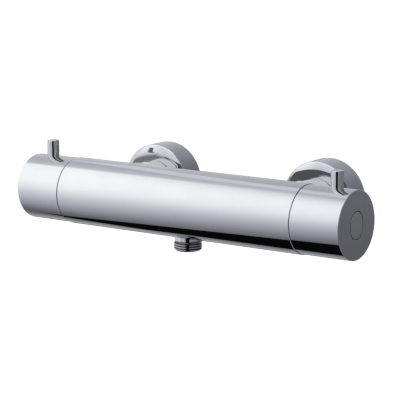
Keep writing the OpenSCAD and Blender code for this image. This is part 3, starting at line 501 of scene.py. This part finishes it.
def make_steel():
    steel, shader, add = new_material("drawn_steel")
    shader.inputs["Metallic"].default_value = 1.0
    tone = two_tones(add, mottle(add, 2.0, 0.0, 1.0), (0.62, 0.63, 0.65), (0.50, 0.51, 0.53))
    link(shader, "Base Color", tone)
    link(shader, "Roughness", mottle(add, 0.6, 0.2, 0.36))
    relief(add, shader, mottle(add, 0.3, 0.0, 1.0), 0.006)
    return steel


def make_rubber():
    rubber, shader, add = new_material("moulded_rubber")
    tone = two_tones(add, mottle(add, 1.5, 0.0, 1.0), (0.022, 0.022, 0.024), (0.035, 0.035, 0.037))
    link(shader, "Base Color", tone)
    link(shader, "Roughness", mottle(add, 0.8, 0.62, 0.8))
    relief(add, shader, mottle(add, 0.25, 0.0, 1.0), 0.02)
    return rubber


def make_white_plastic():
    white, shader, add = new_material("moulded_white_plastic")
    tone = two_tones(add, mottle(add, 4, 0.0, 1.0), (0.80, 0.80, 0.76), (0.74, 0.74, 0.70))
    link(shader, "Base Color", tone)
    link(shader, "Roughness", mottle(add, 0.7, 0.32, 0.45))
    relief(add, shader, mottle(add, 0.35, 0.0, 1.0), 0.008)
    shader.inputs["Subsurface Weight"].default_value = 0.05
    return white


def make_black_plastic():
    black, shader, add = new_material("moulded_black_plastic")
    tone = two_tones(add, mottle(add, 3, 0.0, 1.0), (0.020, 0.020, 0.022), (0.030, 0.030, 0.032))
    link(shader, "Base Color", tone)
    link(shader, "Roughness", mottle(add, 0.5, 0.4, 0.55))
    relief(add, shader, mottle(add, 0.3, 0.0, 1.0), 0.01)
    return black


def make_ceramic():
    ceramic, shader, add = new_material("lapped_ceramic")
    tone = two_tones(add, mottle(add, 2.5, 0.0, 1.0), (0.84, 0.82, 0.77), (0.79, 0.77, 0.72))
    link(shader, "Base Color", tone)
    link(shader, "Roughness", mottle(add, 0.4, 0.08, 0.2))
    return ceramic


FINISHES = {"polished_chrome": make_chrome(), "bare_brass": make_brass(),
            "spring_steel": make_steel(), "black_rubber": make_rubber(),
            "white_plastic": make_white_plastic(), "black_plastic": make_black_plastic(),
            "ceramic": make_ceramic()}
SLOT_OF = {part["node"]: part["material_slot"] for part in frame["record"]["subparts"]}
for name, node in nodes.items():
    for i in range(len(node.data.materials)):
        node.data.materials[i] = FINISHES[SLOT_OF[name]]
print("finishes:", ", ".join(FINISHES))

# %% [markdown]
# A mirror shows every flaw of a mesh. Two things keep it clean: every corner is a small round,
# as on a real plated piece, and every point is told exactly which way it faces, instead of
# letting Blender average its neighbours. A skin gathers points and faces in rows and keeps both.

# %% Skin
SAME_SPOT = 0.1 * MM * MM


class Skin:
    """Gathers the faces of one piece, with the way that each point faces."""

    def __init__(self, place):
        self.place = place
        self.turn = place.to_3x3()
        self.points = []
        self.facing = []
        self.faces = []
        self.known = {}

    def point(self, spot, facing):
        """The number of the point at a spot, which is new unless one lies there already."""
        where = self.place @ Vector(spot)
        key = tuple(round(c / SAME_SPOT) for c in where)
        if key not in self.known:
            self.known[key] = len(self.points)
            self.points.append(where)
            self.facing.append((self.turn @ Vector(facing)).normalized())
        return self.known[key]

    def grid(self, rows):
        """Joins rows of (spot, facing) pairs with faces."""
        marks = [[self.point(*pair) for pair in row] for row in rows]
        for lower, upper in zip(marks, marks[1:]):
            for i in range(len(lower) - 1):
                self.face((lower[i], lower[i + 1], upper[i + 1], upper[i]))

    def face(self, corners):
        """Adds a face that looks the way its points face, if three or more of them differ."""
        kept = list(dict.fromkeys(corners))
        if len(kept) < 3:
            return
        first = self.points[kept[0]]
        sides = [self.points[i] - first for i in kept[1:]]
        across = sum((a.cross(b) for a, b in zip(sides, sides[1:])), Vector())
        outwards = sum((self.facing[i] for i in kept), Vector())
        self.faces.append(kept if across.dot(outwards) > 0 else kept[::-1])

    def piece(self, name, body, slot, stands_for=(), finish=None):
        """Makes the mesh, which rides on a body and may stand for solids of the frame."""
        mesh = bpy.data.meshes.new(name)
        mesh.from_pydata(self.points, [], self.faces)
        mesh.polygons.foreach_set("use_smooth", [True] * len(mesh.polygons))
        mesh.normals_split_custom_set_from_vertices(self.facing)
        mesh.materials.append(finish or FINISHES[slot])
        made = bpy.data.objects.new(name, mesh)
        bpy.context.scene.collection.objects.link(made)
        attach(made, body)
        if stands_for:
            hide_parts(*stands_for)
        print(name, "has", len(self.faces), "faces")
        return made


print("a skin takes points closer than", SAME_SPOT, "m as one")

# %% [markdown]
# Most pieces come off a lathe, so they start as half a section: an outline of corners, each with
# its radius, its height along the axis and its own rounding. The outline is walked with the metal
# on the left, so the way out is always to the right.

# %% Outlines and turned pieces
SIDES = 192
ARC_STEPS = 5


def unit(a, b):
    length = math.hypot(b[0] - a[0], b[1] - a[1])
    return (b[0] - a[0]) / length, (b[1] - a[1]) / length


def outline(corners, closed=False):
    """Spots (radius, height, facing out, facing up) along corners (radius, height, rounding)."""
    count = len(corners)
    spots = []
    for i, (r, h, rounding) in enumerate(corners):
        ends = not closed and i in (0, count - 1)
        before = corners[i - 1] if not (ends and i == 0) else None
        after = corners[(i + 1) % count] if not (ends and i) else None
        way_in = unit(before, (r, h)) if before else unit((r, h), after)
        way_out = unit((r, h), after) if after else way_in
        if ends:
            spots.append((r, h, way_in[1], -way_in[0]))
            continue
        bend = math.atan2(way_in[0] * way_out[1] - way_in[1] * way_out[0],
                          way_in[0] * way_out[0] + way_in[1] * way_out[1])
        back = rounding * abs(math.tan(bend / 2))
        start = (r - way_in[0] * back, h - way_in[1] * back)
        hand = math.copysign(1, bend)
        centre = (start[0] - hand * rounding * way_in[1], start[1] + hand * rounding * way_in[0])
        first = math.atan2(-way_in[0], way_in[1])
        for step in range(ARC_STEPS + 1):
            angle = first + bend * step / ARC_STEPS
            out, up = math.cos(angle), math.sin(angle)
            spots.append((centre[0] + hand * rounding * out, centre[1] + hand * rounding * up,
                          out, up))
    return spots + spots[:1] if closed else spots


def around(spot, angle):
    """A spot of an outline, turned about the axis: its place and the way it faces."""
    r, h, out, up = spot
    c, s = math.cos(angle), math.sin(angle)
    return (r * c, r * s, h), (out * c, out * s, up)


def turned(skin, spots, sides=SIDES):
    """Turns an outline about the axis."""
    skin.grid([[around(spot, math.tau * k / sides) for spot in spots]
               for k in range(sides + 1)])


def along_bar(side, at=0.0):
    """Outwards along the bar: the skin's own +Z is the bar's axis, its +Y stays up."""
    columns = (Vector((0, 1, 0)), Vector((0, 0, 1)), Vector((side, 0, 0)))
    place = Matrix(columns).transposed().to_4x4()
    place.translation = (side * at, AXIS_Y, AXIS_Z)
    return place


def along_inlet(x):
    """From the bar's axis towards the wall."""
    columns = (Vector((1, 0, 0)), Vector((0, 0, 1)), Vector((0, 1, 0)))
    place = Matrix(columns).transposed().to_4x4()
    place.translation = (x, AXIS_Y, AXIS_Z)
    return place


def upwards(x):
    """From the bar's axis up."""
    return Matrix.Translation((x, AXIS_Y, AXIS_Z))


def downwards():
    """From the bar's axis down, at its middle."""
    columns = (Vector((1, 0, 0)), Vector((0, 1, 0)), Vector((0, 0, -1)))
    place = Matrix(columns).transposed().to_4x4()
    place.translation = (0, AXIS_Y, AXIS_Z)
    return place


print("outlines round each corner in", ARC_STEPS, "steps and turn in", SIDES)

# %% [markdown]
# The lever pins are plain round pins that stand up from the handles, with a softly rounded top.
# Below the handle's skin a thinner shank goes down into the core.

# %% Lever pins
PIN_TOP_ROUND = 0.7 * MM
PIN_SHANK_R = 2.45 * MM
PIN_SHOULDER = 17 * MM
PIN_SIDES = 96
FINE_ROUND = 0.2 * MM


def make_lever_pin(side, name, body):
    skin = Skin(upwards(side * PIN_AT))
    turned(skin, outline([
        (0, PIN_FOOT, 0), (PIN_SHANK_R, PIN_FOOT, FINE_ROUND),
        (PIN_SHANK_R, PIN_SHOULDER, FINE_ROUND), (PIN_R, PIN_SHOULDER, FINE_ROUND),
        (PIN_R, PIN_TOP, PIN_TOP_ROUND), (0, PIN_TOP, 0)]), sides=PIN_SIDES)
    skin.piece(f"{name}_polished", body, "polished_chrome", [name])


make_lever_pin(1, "temperature_lever_pin", "temperature_handle")
make_lever_pin(-1, "flow_lever_pin", "flow_handle")

# %% [markdown]
# A handle is a thin cup over the end of the bar. It is drilled above for its lever pin and below
# for the grub screw that fixes its core, and the round of each hole's edge follows the curve of
# the cup: a ball that rolls round the hole inside the metal touches both the cup and the hole,
# and the edge is the surface between the two touches.

# %% Holes in a round wall
PATCH_STEPS = 9
PATCH_ROWS = 5


def wall_spot(radius, way, angle, h):
    """A spot on a round wall that faces outwards (way 1) or inwards (way -1)."""
    c, s = math.cos(angle), math.sin(angle)
    return (radius * c, radius * s, h), (way * c, way * s, 0)


def edge_rows(radius, way, hole_at, hole_r, rounding, middle, bearings):
    """Rows from the round wall to the wall of the hole, one spot for each bearing."""
    up = Vector((math.cos(hole_at), math.sin(hole_at), 0))
    across = Vector((-math.sin(hole_at), math.cos(hole_at), 0))
    ahead = Vector((0, 0, 1))
    rows = []
    for step in range(ARC_STEPS + 1):
        row = []
        for bearing in bearings:
            out = ahead * math.cos(bearing) + across * math.sin(bearing)
            side_step = (hole_r + rounding) * math.sin(bearing)
            ball_r = radius - way * rounding
            rise = math.sqrt(ball_r ** 2 - side_step ** 2)
            ball = ahead * middle + out * (hole_r + rounding) + up * rise
            to_wall = (across * side_step + up * rise).normalized() * way
            between = math.acos(max(-1.0, min(1.0, to_wall.dot(-out))))
            share = step / ARC_STEPS
            facing = (to_wall * math.sin((1 - share) * between)
                      - out * math.sin(share * between)) / math.sin(between)
            row.append((ball + facing * rounding, facing))
        rows.append(row)
    return rows


def patch_border():
    """Steps (along, round) of a square's border, once round, in order."""
    n = PATCH_STEPS
    side = [(n, i) for i in range(-n, n)]
    border = []
    for _ in range(4):
        border += side
        side = [(-around_step, along_step) for along_step, around_step in side]
    return border + border[:1]


def hole_mouth(skin, wall, hole, middle, reach, rounding):
    """Fills the patch round a hole in one wall, and gives the last row of the hole's edge."""
    radius, way = wall
    angle, hole_r = hole
    border = patch_border()
    bearings = [math.atan2(turn, along) for along, turn in border]
    rows = edge_rows(radius, way, angle, hole_r, rounding, middle, bearings)
    outer_row = [(angle + math.tau / SIDES * turn, middle + reach * along / PATCH_STEPS)
                 for along, turn in border]
    inner_row = [(math.atan2(spot.y, spot.x), spot.z) for spot, facing in rows[0]]
    inner_row = [(angle + (a - angle + math.pi) % math.tau - math.pi, h) for a, h in inner_row]
    patch = []
    for row in range(PATCH_ROWS + 1):
        share = row / PATCH_ROWS
        patch.append([wall_spot(radius, way, a + (b - a) * share, h + (g - h) * share)
                      for (a, h), (b, g) in zip(outer_row, inner_row)])
    skin.grid(patch)
    skin.grid(rows)
    return rows[-1]


def drilled_walls(skin, outer_r, inner_r, middle, holes, rounding):
    """A stretch of an outer and an inner round wall with holes (angle, radius) through both."""
    step = math.tau / SIDES
    reach = outer_r * PATCH_STEPS * step
    heights = [middle + reach * i / PATCH_STEPS for i in range(-PATCH_STEPS, PATCH_STEPS + 1)]
    marks = [round(angle / step) for angle, hole_r in holes]
    walls = ((outer_r, 1), (inner_r, -1))
    for radius, way in walls:
        for k in range(SIDES):
            if any((k - mark + PATCH_STEPS) % SIDES < 2 * PATCH_STEPS for mark in marks):
                continue
            skin.grid([[wall_spot(radius, way, step * turn, h) for h in heights]
                       for turn in (k, k + 1)])
    for hole in holes:
        skin.grid([hole_mouth(skin, wall, hole, middle, reach, rounding) for wall in walls])
    return reach


print("each hole lies in a square patch of", 2 * PATCH_STEPS, "faces a side")

# %% [markdown]
# The end of the temperature handle has an oval opening for the button that releases its stop.
# The oval is two half rounds joined by short straights, and rays from its middle meet it and the
# handle's rim at the same bearings, so the two outlines join with an even net.

# %% Oval outlines
BUTTON_W, BUTTON_H = 16.2 * MM, 19.2 * MM
BUTTON_GAP = 0.6 * MM


def oval_spot(bearing, grow):
    """Where a ray from the oval's middle meets it when grown, and the way it faces there."""
    half_w = BUTTON_W / 2 + grow
    straight = (BUTTON_H - BUTTON_W) / 2
    dx, dy = math.cos(bearing), math.sin(bearing)
    if abs(dx) * straight > abs(dy) * half_w:
        return (half_w * math.copysign(1, dx), half_w * dy / abs(dx)), (math.copysign(1, dx), 0)
    end = math.copysign(straight, dy)
    along = dy * end
    reach = along + math.sqrt(along ** 2 - end ** 2 + half_w ** 2)
    x, y = dx * reach, dy * reach
    return (x, y), (x / half_w, (y - end) / half_w)


def oval_edge(grow, hand, h, up, rounding):
    """Rows round an oval's edge from its side wall to a flat face that faces up (1) or down (-1).

    hand is 1 for a button, whose metal lies inside the oval, and -1 for a hole."""
    rows = []
    for step in range(ARC_STEPS + 1):
        quarter = math.pi / 2 * step / ARC_STEPS
        row = []
        for k in range(SIDES + 1):
            (x, y), (nx, ny) = oval_spot(math.tau * k / SIDES, grow - hand * rounding)
            out, rise = hand * math.cos(quarter), up * math.sin(quarter)
            row.append(((x + nx * out * rounding, y + ny * out * rounding,
                         h - up * rounding + rise * rounding), (nx * out, ny * out, rise)))
        rows.append(row)
    return rows


def flat_ring(inner_row, radius, h, up):
    """A flat face from a row of spots out to a circle."""
    circle = [((radius * math.cos(math.tau * k / SIDES), radius * math.sin(math.tau * k / SIDES),
                h), (0, 0, up)) for k in range(SIDES + 1)]
    return [[((spot[0], spot[1], h), (0, 0, up)) for spot, facing in inner_row], circle]


print("oval button:", round(BUTTON_W / MM, 1), "by", round(BUTTON_H / MM, 1), "mm")

# %% [markdown]
# The seams are the gaps between the handles and the bar. How dark they look depends on their
# width to a fraction of a millimetre, so each shell starts where the photograph's seam says.

# %% Handles
HANDLE_WALL = 2 * MM
HANDLE_END_T = 2.7 * MM
HANDLE_END_ROUND = 0.6 * MM
SEAM_ROUND = 0.15 * MM
SEAM_SHIFT = {1: -0.25 * MM, -1: 0.35 * MM}
HOLE_ROUND = 0.12 * MM
PIN_PLAY = 0.05 * MM
PIN_HOLE_R = PIN_R + PIN_PLAY
GRUB_HOLE_R = 2.3 * MM
FACE_RING_R = 21 * MM


def make_handle(side, name, body, oval):
    """The shell on one side (1 right, -1 left), with or without the oval for the button."""
    skin = Skin(along_bar(side))
    inner_r = HANDLE_R - HANDLE_WALL
    inner_end = HANDLE_END - HANDLE_END_T
    holes = [(math.pi / 2, PIN_HOLE_R), (-math.pi / 2, GRUB_HOLE_R)]
    reach = drilled_walls(skin, HANDLE_R, inner_r, PIN_AT, holes, HOLE_ROUND)
    low, high = PIN_AT - reach, PIN_AT + reach
    start = HANDLE_START + SEAM_SHIFT[side]
    turned(skin, outline([
        (inner_r, low, 0), (inner_r, start, SEAM_ROUND),
        (HANDLE_R, start, SEAM_ROUND), (HANDLE_R, low, 0)]))
    face_from = FACE_RING_R if oval else 0
    turned(skin, outline([
        (HANDLE_R, high, 0), (HANDLE_R, HANDLE_END, HANDLE_END_ROUND),
        (face_from, HANDLE_END, 0)]))
    turned(skin, outline([
        (face_from, inner_end, 0), (inner_r, inner_end, FINE_ROUND), (inner_r, high, 0)]))
    if oval:
        outside = oval_edge(BUTTON_GAP, -1, HANDLE_END, 1, HOLE_ROUND)
        inside = oval_edge(BUTTON_GAP, -1, inner_end, -1, HOLE_ROUND)
        skin.grid(outside)
        skin.grid(inside)
        skin.grid([outside[0], inside[0]])
        skin.grid(flat_ring(outside[-1], FACE_RING_R, HANDLE_END, 1))
        skin.grid(flat_ring(inside[-1], FACE_RING_R, inner_end, -1))
    skin.piece(f"{name}_shell", body, "polished_chrome", [name])


make_handle(1, "temperature_handle", "temperature_handle", True)
make_handle(-1, "flow_handle", "flow_handle", False)

# %% [markdown]
# The button lies flush in the handle's end, and its plating is a touch warmer than the handle's.
# Behind the oval a round plate keeps it from falling out, two stems guide it in the core, and a
# third, the catch, stands in front of the stop.

# %% Stop button
BUTTON_ROUND = 0.15 * MM
BUTTON_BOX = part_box("stop_button")
BUTTON_FACE = BUTTON_BOX[1].x
PLATE_GAP = 0.15 * MM
PLATE_FACE = HANDLE_END - HANDLE_END_T - PLATE_GAP
PLATE_T = 2.1 * MM
PLATE_R = (BUTTON_BOX[1].y - BUTTON_BOX[0].y) / 2
STEM_R, STEM_AT = 1.5 * MM, 9 * MM
STEM_L = 10 * MM
STEM_SIDES = 48
CATCH_R = 1.6 * MM
CATCH_INSET = 0.05 * MM
CATCH_AT = PLATE_R - CATCH_R - CATCH_INSET


def make_stop_button():
    skin = Skin(along_bar(1))
    rim = oval_edge(0, 1, BUTTON_FACE, 1, BUTTON_ROUND)
    skin.grid(rim)
    middle = [((0, 0, BUTTON_FACE), (0, 0, 1))] * (SIDES + 1)
    skin.grid([rim[-1], middle])
    foot = [((spot[0], spot[1], PLATE_FACE), facing) for spot, facing in rim[0]]
    skin.grid([rim[0], foot])
    plate_back = PLATE_FACE - PLATE_T
    ring_r = BUTTON_H / 2 + FINE_ROUND
    turned(skin, outline([
        (0, plate_back, 0), (PLATE_R, plate_back, FINE_ROUND), (PLATE_R, PLATE_FACE, FINE_ROUND),
        (ring_r, PLATE_FACE, 0)]))
    skin.grid(flat_ring(foot, ring_r, PLATE_FACE, 1))
    for across, up, radius, back in (
            (STEM_AT, 0, STEM_R, plate_back - STEM_L), (-STEM_AT, 0, STEM_R, plate_back - STEM_L),
            (0, CATCH_AT, CATCH_R, BUTTON_BOX[0].x)):
        skin.place = along_bar(1) @ Matrix.Translation((across, up, 0))
        turned(skin, outline([
            (0, back, 0), (radius, back, FINE_ROUND), (radius, plate_back + FINE_ROUND, 0),
            (0, plate_back + FINE_ROUND, 0)]), sides=STEM_SIDES)
    warm_chrome = make_chrome("warm_chrome_plate", (0.65, 0.66, 0.635), (0.675, 0.685, 0.66))
    skin.piece("stop_button_polished", "stop_button", "polished_chrome", ["stop_button"],
               warm_chrome)


make_stop_button()

# %% [markdown]
# The two union nuts are smooth rings: the flats for the spanner are hidden on better valves, so
# nothing breaks the mirror. They meet the bosses in a thin joint and end just short of the
# rosettes, which show each nut again as its own mirror image.

# %% Union nuts
UNION_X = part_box("cold_union_nut")[0].x + width("cold_union_nut", X) / 2
NUT_R = width("cold_union_nut", X) / 2
NUT_START, NUT_END = (corner.y - AXIS_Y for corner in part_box("cold_union_nut"))
UNION_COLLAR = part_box("cold_union")[0].y - AXIS_Y
UNION_COLLAR_T = 3.5 * MM
NUT_THREAD_R = 13.32 * MM
NUT_HOLE_R = 11.3 * MM
NUT_ROUND = 0.3 * MM
NUT_LONGER_IN_FRONT, NUT_LONGER_BEHIND = 0.2 * MM, 0.7 * MM
NUT_FRONT = NUT_START - NUT_LONGER_IN_FRONT
NUT_BACK = NUT_END + NUT_LONGER_BEHIND


def make_union_nut(side, name):
    skin = Skin(along_inlet(side * UNION_X))
    lip = UNION_COLLAR + UNION_COLLAR_T
    turned(skin, outline([
        (NUT_THREAD_R, NUT_FRONT, FINE_ROUND), (NUT_R, NUT_FRONT, FINE_ROUND),
        (NUT_R, NUT_BACK, NUT_ROUND), (NUT_HOLE_R, NUT_BACK, FINE_ROUND),
        (NUT_HOLE_R, lip, FINE_ROUND), (NUT_THREAD_R, lip, FINE_ROUND)], closed=True))
    skin.piece(f"{name}_polished", "valve", "polished_chrome", [name])


for side, name in ((-1, "hot_union_nut"), (1, "cold_union_nut")):
    make_union_nut(side, name)

# %% [markdown]
# A rosette is a pressed brass cup. Its face is flat in the middle and falls away towards the rim
# in one large round: that is why the mirror image of the bar ends part-way up it, why the image
# of the lever pin is squeezed, and why the rest shines nearly white. The rim is a small round
# where that face and the side meet, and its centre lies where a ball of that size touches both.
# Where the ball touches the face is found by trying: each try starts from the tilt at the last.

# %% Rosettes
ROSETTE_R = width("cold_rosette", X) / 2
ROSETTE_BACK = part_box("cold_rosette")[1].y - AXIS_Y
ROSETTE_DEPTH = 20.2 * MM
ROSETTE_RIM = ROSETTE_BACK - ROSETTE_DEPTH
SHOULDER_FROM = 20 * MM
SHOULDER_ROUND = 40 * MM
ROSETTE_WALL = 1.4 * MM
ROSETTE_PLATE = 1.6 * MM
ROSETTE_ROUND = 0.9 * MM
ROSETTE_BACK_ROUND = 0.8 * MM
DOME_STEPS = 24
TOUCH_TRIES = 8


def dome_tilt(r):
    """How far the face leans back at a radius."""
    return math.asin(max(0.0, r - SHOULDER_FROM) / SHOULDER_ROUND)


def dome_height(r):
    """The face's distance from the bar's axis at a radius."""
    fall = math.cos(dome_tilt(r)) - math.cos(dome_tilt(ROSETTE_R))
    return ROSETTE_RIM - SHOULDER_ROUND * fall


def dome_spots(first_r, last_r, way, deeper=0):
    """Spots on the dome between two radii, facing the room (way 1) or the wall (way -1)."""
    spots = []
    for step in range(DOME_STEPS + 1):
        r = first_r + (last_r - first_r) * step / DOME_STEPS
        tilt = dome_tilt(r)
        spots.append((r, dome_height(r) + deeper, way * math.sin(tilt), -way * math.cos(tilt)))
    return spots


def rosette_rim():
    """The radius where the face ends, the height where the side starts, and spots between."""
    edge_r = ROSETTE_R - ROSETTE_ROUND
    for _ in range(TOUCH_TRIES):
        edge_r = ROSETTE_R - ROSETTE_ROUND * (1 - math.sin(dome_tilt(edge_r)))
    tilt = dome_tilt(edge_r)
    rim_r = ROSETTE_R - ROSETTE_ROUND
    rim_h = dome_height(edge_r) + ROSETTE_ROUND * math.cos(tilt)
    rim = []
    for step in range(ARC_STEPS + 1):
        angle = -(math.pi / 2 - tilt) * (1 - step / ARC_STEPS)
        out, up = math.cos(angle), math.sin(angle)
        rim.append((rim_r + ROSETTE_ROUND * out, rim_h + ROSETTE_ROUND * up, out, up))
    return edge_r, rim_h, rim


def make_rosette(side, name):
    edge_r, rim_h, rim = rosette_rim()
    face = dome_spots(NUT_HOLE_R + FINE_ROUND, edge_r, 1)
    inner_r = ROSETTE_R - ROSETTE_WALL
    lining = dome_spots(inner_r, NUT_HOLE_R, -1, deeper=ROSETTE_PLATE)
    hole = outline([
        (NUT_HOLE_R, lining[-1][1], 0), (NUT_HOLE_R, face[0][1], FINE_ROUND),
        (face[0][0] + FINE_ROUND, face[0][1], 0)])[1:-1]
    side_wall = outline([
        (ROSETTE_R, rim_h, 0), (ROSETTE_R, ROSETTE_BACK, ROSETTE_BACK_ROUND),
        (inner_r, ROSETTE_BACK, FINE_ROUND), (inner_r, lining[0][1], 0)])
    skin = Skin(along_inlet(side * UNION_X))
    hole_wall = [(NUT_HOLE_R, lining[-1][1], -1, 0)] + hole + face[:1]
    for spots in (face + rim + side_wall, lining, hole_wall):
        turned(skin, spots)
    skin.piece(f"{name}_polished", "valve", "polished_chrome", [name])


for side, name in ((-1, "hot_rosette"), (1, "cold_rosette")):
    make_rosette(side, name)

# %% [markdown]
# The hose is screwed onto a half-inch pipe thread. A real thread is one ridge that climbs round
# the pipe, so the radius depends on height and angle together: each row of the net climbs by one
# pitch in a turn, which keeps the crest on a single row. The end is chamfered to let a nut start.

# %% Pipe threads
PITCH = 1.814 * MM
DEPTH_SHARE = 0.64
THREAD_DEPTH = DEPTH_SHARE * PITCH
THREAD_STEPS = 14
THREAD_SIDES = 120
CREST_SHARE, ROOT_SHARE = 0.30, 0.22
NUDGES_IN_A_STEP = 8


def thread_radius(major_r, start, end, h, angle):
    """Radius of the thread's surface at a height and an angle, between its two chamfered ends."""
    turn = ((h - start) / PITCH - angle / math.tau) % 1
    flank = (abs(2 * turn - 1) - CREST_SHARE) / (1 - CREST_SHARE - ROOT_SHARE)
    flank = max(0.0, min(1.0, flank))
    rise = 1 - flank * flank * (3 - 2 * flank)
    root_r = major_r - THREAD_DEPTH
    return min(root_r + THREAD_DEPTH * rise, root_r + min(h - start, end - h))


def add_thread(skin, major_r, start, end):
    """The thread's surface. Its slope at a spot is measured over a small nudge to each side."""
    nudge = PITCH / THREAD_STEPS / NUDGES_IN_A_STEP
    count = round((end - start) / PITCH * THREAD_STEPS)
    columns = []
    for k in range(THREAD_SIDES + 1):
        angle = math.tau * k / THREAD_SIDES
        shear = PITCH * k / THREAD_SIDES
        column = []
        for i in range(-THREAD_STEPS, count + 1):
            h = max(start, min(end, start + PITCH * i / THREAD_STEPS + shear))
            r = thread_radius(major_r, start, end, h, angle)
            low, high = max(start, h - nudge), min(end, h + nudge)
            steep = (thread_radius(major_r, start, end, high, angle)
                     - thread_radius(major_r, start, end, low, angle)) / (high - low)
            column.append(around((r, h, 1, -steep), angle))
        columns.append(column)
    skin.grid(columns)


print("thread depth", round(THREAD_DEPTH / MM, 2), "mm at a pitch of", round(PITCH / MM, 3), "mm")

# %% [markdown]
# Above the thread a plain shank goes up into the bar, with a groove for the ring that seals it.

# %% Outlet nipple
OUTLET_MAJOR_R = width("outlet_nipple", X) / 2
OUTLET_TURNS = 4
OUTLET_TIP = AXIS_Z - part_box("outlet_nipple")[0].z
OUTLET_TOP = AXIS_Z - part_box("outlet_nipple")[1].z
OUTLET_FACE = OUTLET_TIP - OUTLET_TURNS * PITCH
OUTLET_ROOT_R = OUTLET_MAJOR_R - THREAD_DEPTH
SHANK_RELIEF = 0.1 * MM
OUTLET_SHANK_R = OUTLET_ROOT_R - SHANK_RELIEF
OUTLET_BORE_R = 6.5 * MM
GROOVE_TOP, GROOVE_BOTTOM = (OUTLET_FACE - up for up in (3.05 * MM, 1.95 * MM))
GROOVE_DEPTH = 0.95 * MM
GROOVE_R = OUTLET_SHANK_R - GROOVE_DEPTH
GROOVE_ROUND = FINE_ROUND / 4
TIP_ROUND = 3 * FINE_ROUND


def make_thread_with_painted_groove_shade():
    """Chrome that is bright on the crests and dark in the grooves: painted shade and thinner
    plating.
    """
    thread, shader, add = new_material("plated_thread")
    shader.inputs["Metallic"].default_value = 1.0
    place = add("ShaderNodeMapping", {"Location": (0, -AXIS_Y, 0)},
                {"Vector": add("ShaderNodeTexCoord").outputs["Object"]})
    flat = add("ShaderNodeVectorMath", {1: (1, 1, 0)}, {0: place.outputs[0]},
               operation="MULTIPLY")
    radius = add("ShaderNodeVectorMath", links={0: flat.outputs[0]}, operation="LENGTH")
    crest = add("ShaderNodeMapRange", {"From Min": OUTLET_ROOT_R, "From Max": OUTLET_MAJOR_R},
                {"Value": radius.outputs["Value"]})
    # Painted shade with thinner plating: the colour darkens from the crests down into the grooves.
    tone = two_tones(add, crest.outputs[0], (0.10, 0.10, 0.105), (0.50, 0.505, 0.515))
    link(shader, "Base Color", tone)
    link(shader, "Roughness", mottle(add, 1.5, 0.10, 0.20))
    relief(add, shader, mottle(add, 0.5, 0.0, 1.0), 0.002)
    return thread


def make_outlet_nipple():
    skin = Skin(downwards())
    add_thread(skin, OUTLET_MAJOR_R, OUTLET_FACE, OUTLET_TIP)
    turned(skin, outline([
        (OUTLET_ROOT_R, OUTLET_TIP, 0), (OUTLET_BORE_R, OUTLET_TIP, TIP_ROUND),
        (OUTLET_BORE_R, OUTLET_TOP, FINE_ROUND), (OUTLET_SHANK_R, OUTLET_TOP, FINE_ROUND),
        (OUTLET_SHANK_R, GROOVE_TOP, GROOVE_ROUND), (GROOVE_R, GROOVE_TOP, GROOVE_ROUND),
        (GROOVE_R, GROOVE_BOTTOM, GROOVE_ROUND), (OUTLET_SHANK_R, GROOVE_BOTTOM, GROOVE_ROUND),
        (OUTLET_SHANK_R, OUTLET_FACE, 0), (OUTLET_ROOT_R, OUTLET_FACE, 0)]), sides=THREAD_SIDES)
    skin.piece("outlet_nipple_threaded", "valve", "polished_chrome", ["outlet_nipple"],
               make_thread_with_painted_groove_shade())


make_outlet_nipple()

# %% [markdown]
# The bar is cast in one with its bosses, and a casting has no sharp inner corner: a small hollow
# round runs where each boss leaves the bar. A ball that rolls in the corner, touching both, gives
# its place, and the surface lies between the two touches.

# %% Rounds at the feet of the bosses
BOSS_R = 18.6 * MM
BOSS_FOOT_ROUND = 1.2 * MM
OUTLET_BOSS_R = OUTLET_MAJOR_R - THREAD_DEPTH / 2
OUTLET_FOOT_ROUND = 0.6 * MM
PROUD = 0.02 * MM


def make_boss_round(name, place, boss_r, rounding):
    """A hollow round between the bar, along the skin's own X, and a boss along its Z."""
    skin = Skin(place)
    rows = [[] for _ in range(ARC_STEPS + 1)]
    for k in range(SIDES + 1):
        bearing = math.tau * k / SIDES
        c, s = math.cos(bearing), math.sin(bearing)
        ball_r = boss_r + rounding + PROUD
        ball = Vector((ball_r * c, ball_r * s,
                       math.sqrt((BAR_R + rounding + PROUD) ** 2 - (ball_r * s) ** 2)))
        to_boss = Vector((-c, -s, 0))
        to_bar = Vector((0, -ball.y, -ball.z)).normalized()
        between = to_boss.angle(to_bar)
        for step in range(ARC_STEPS + 1):
            share = step / ARC_STEPS
            way = (to_boss * math.sin((1 - share) * between)
                   + to_bar * math.sin(share * between)) / math.sin(between)
            rows[step].append((ball + way * rounding, -way))
    skin.grid(rows)
    skin.piece(name, "valve", "polished_chrome")


for side, name in ((-1, "hot"), (1, "cold")):
    make_boss_round(f"{name}_boss_round", along_inlet(side * UNION_X), BOSS_R, BOSS_FOOT_ROUND)
make_boss_round("outlet_boss_round", downwards(), OUTLET_BOSS_R, OUTLET_FOOT_ROUND)
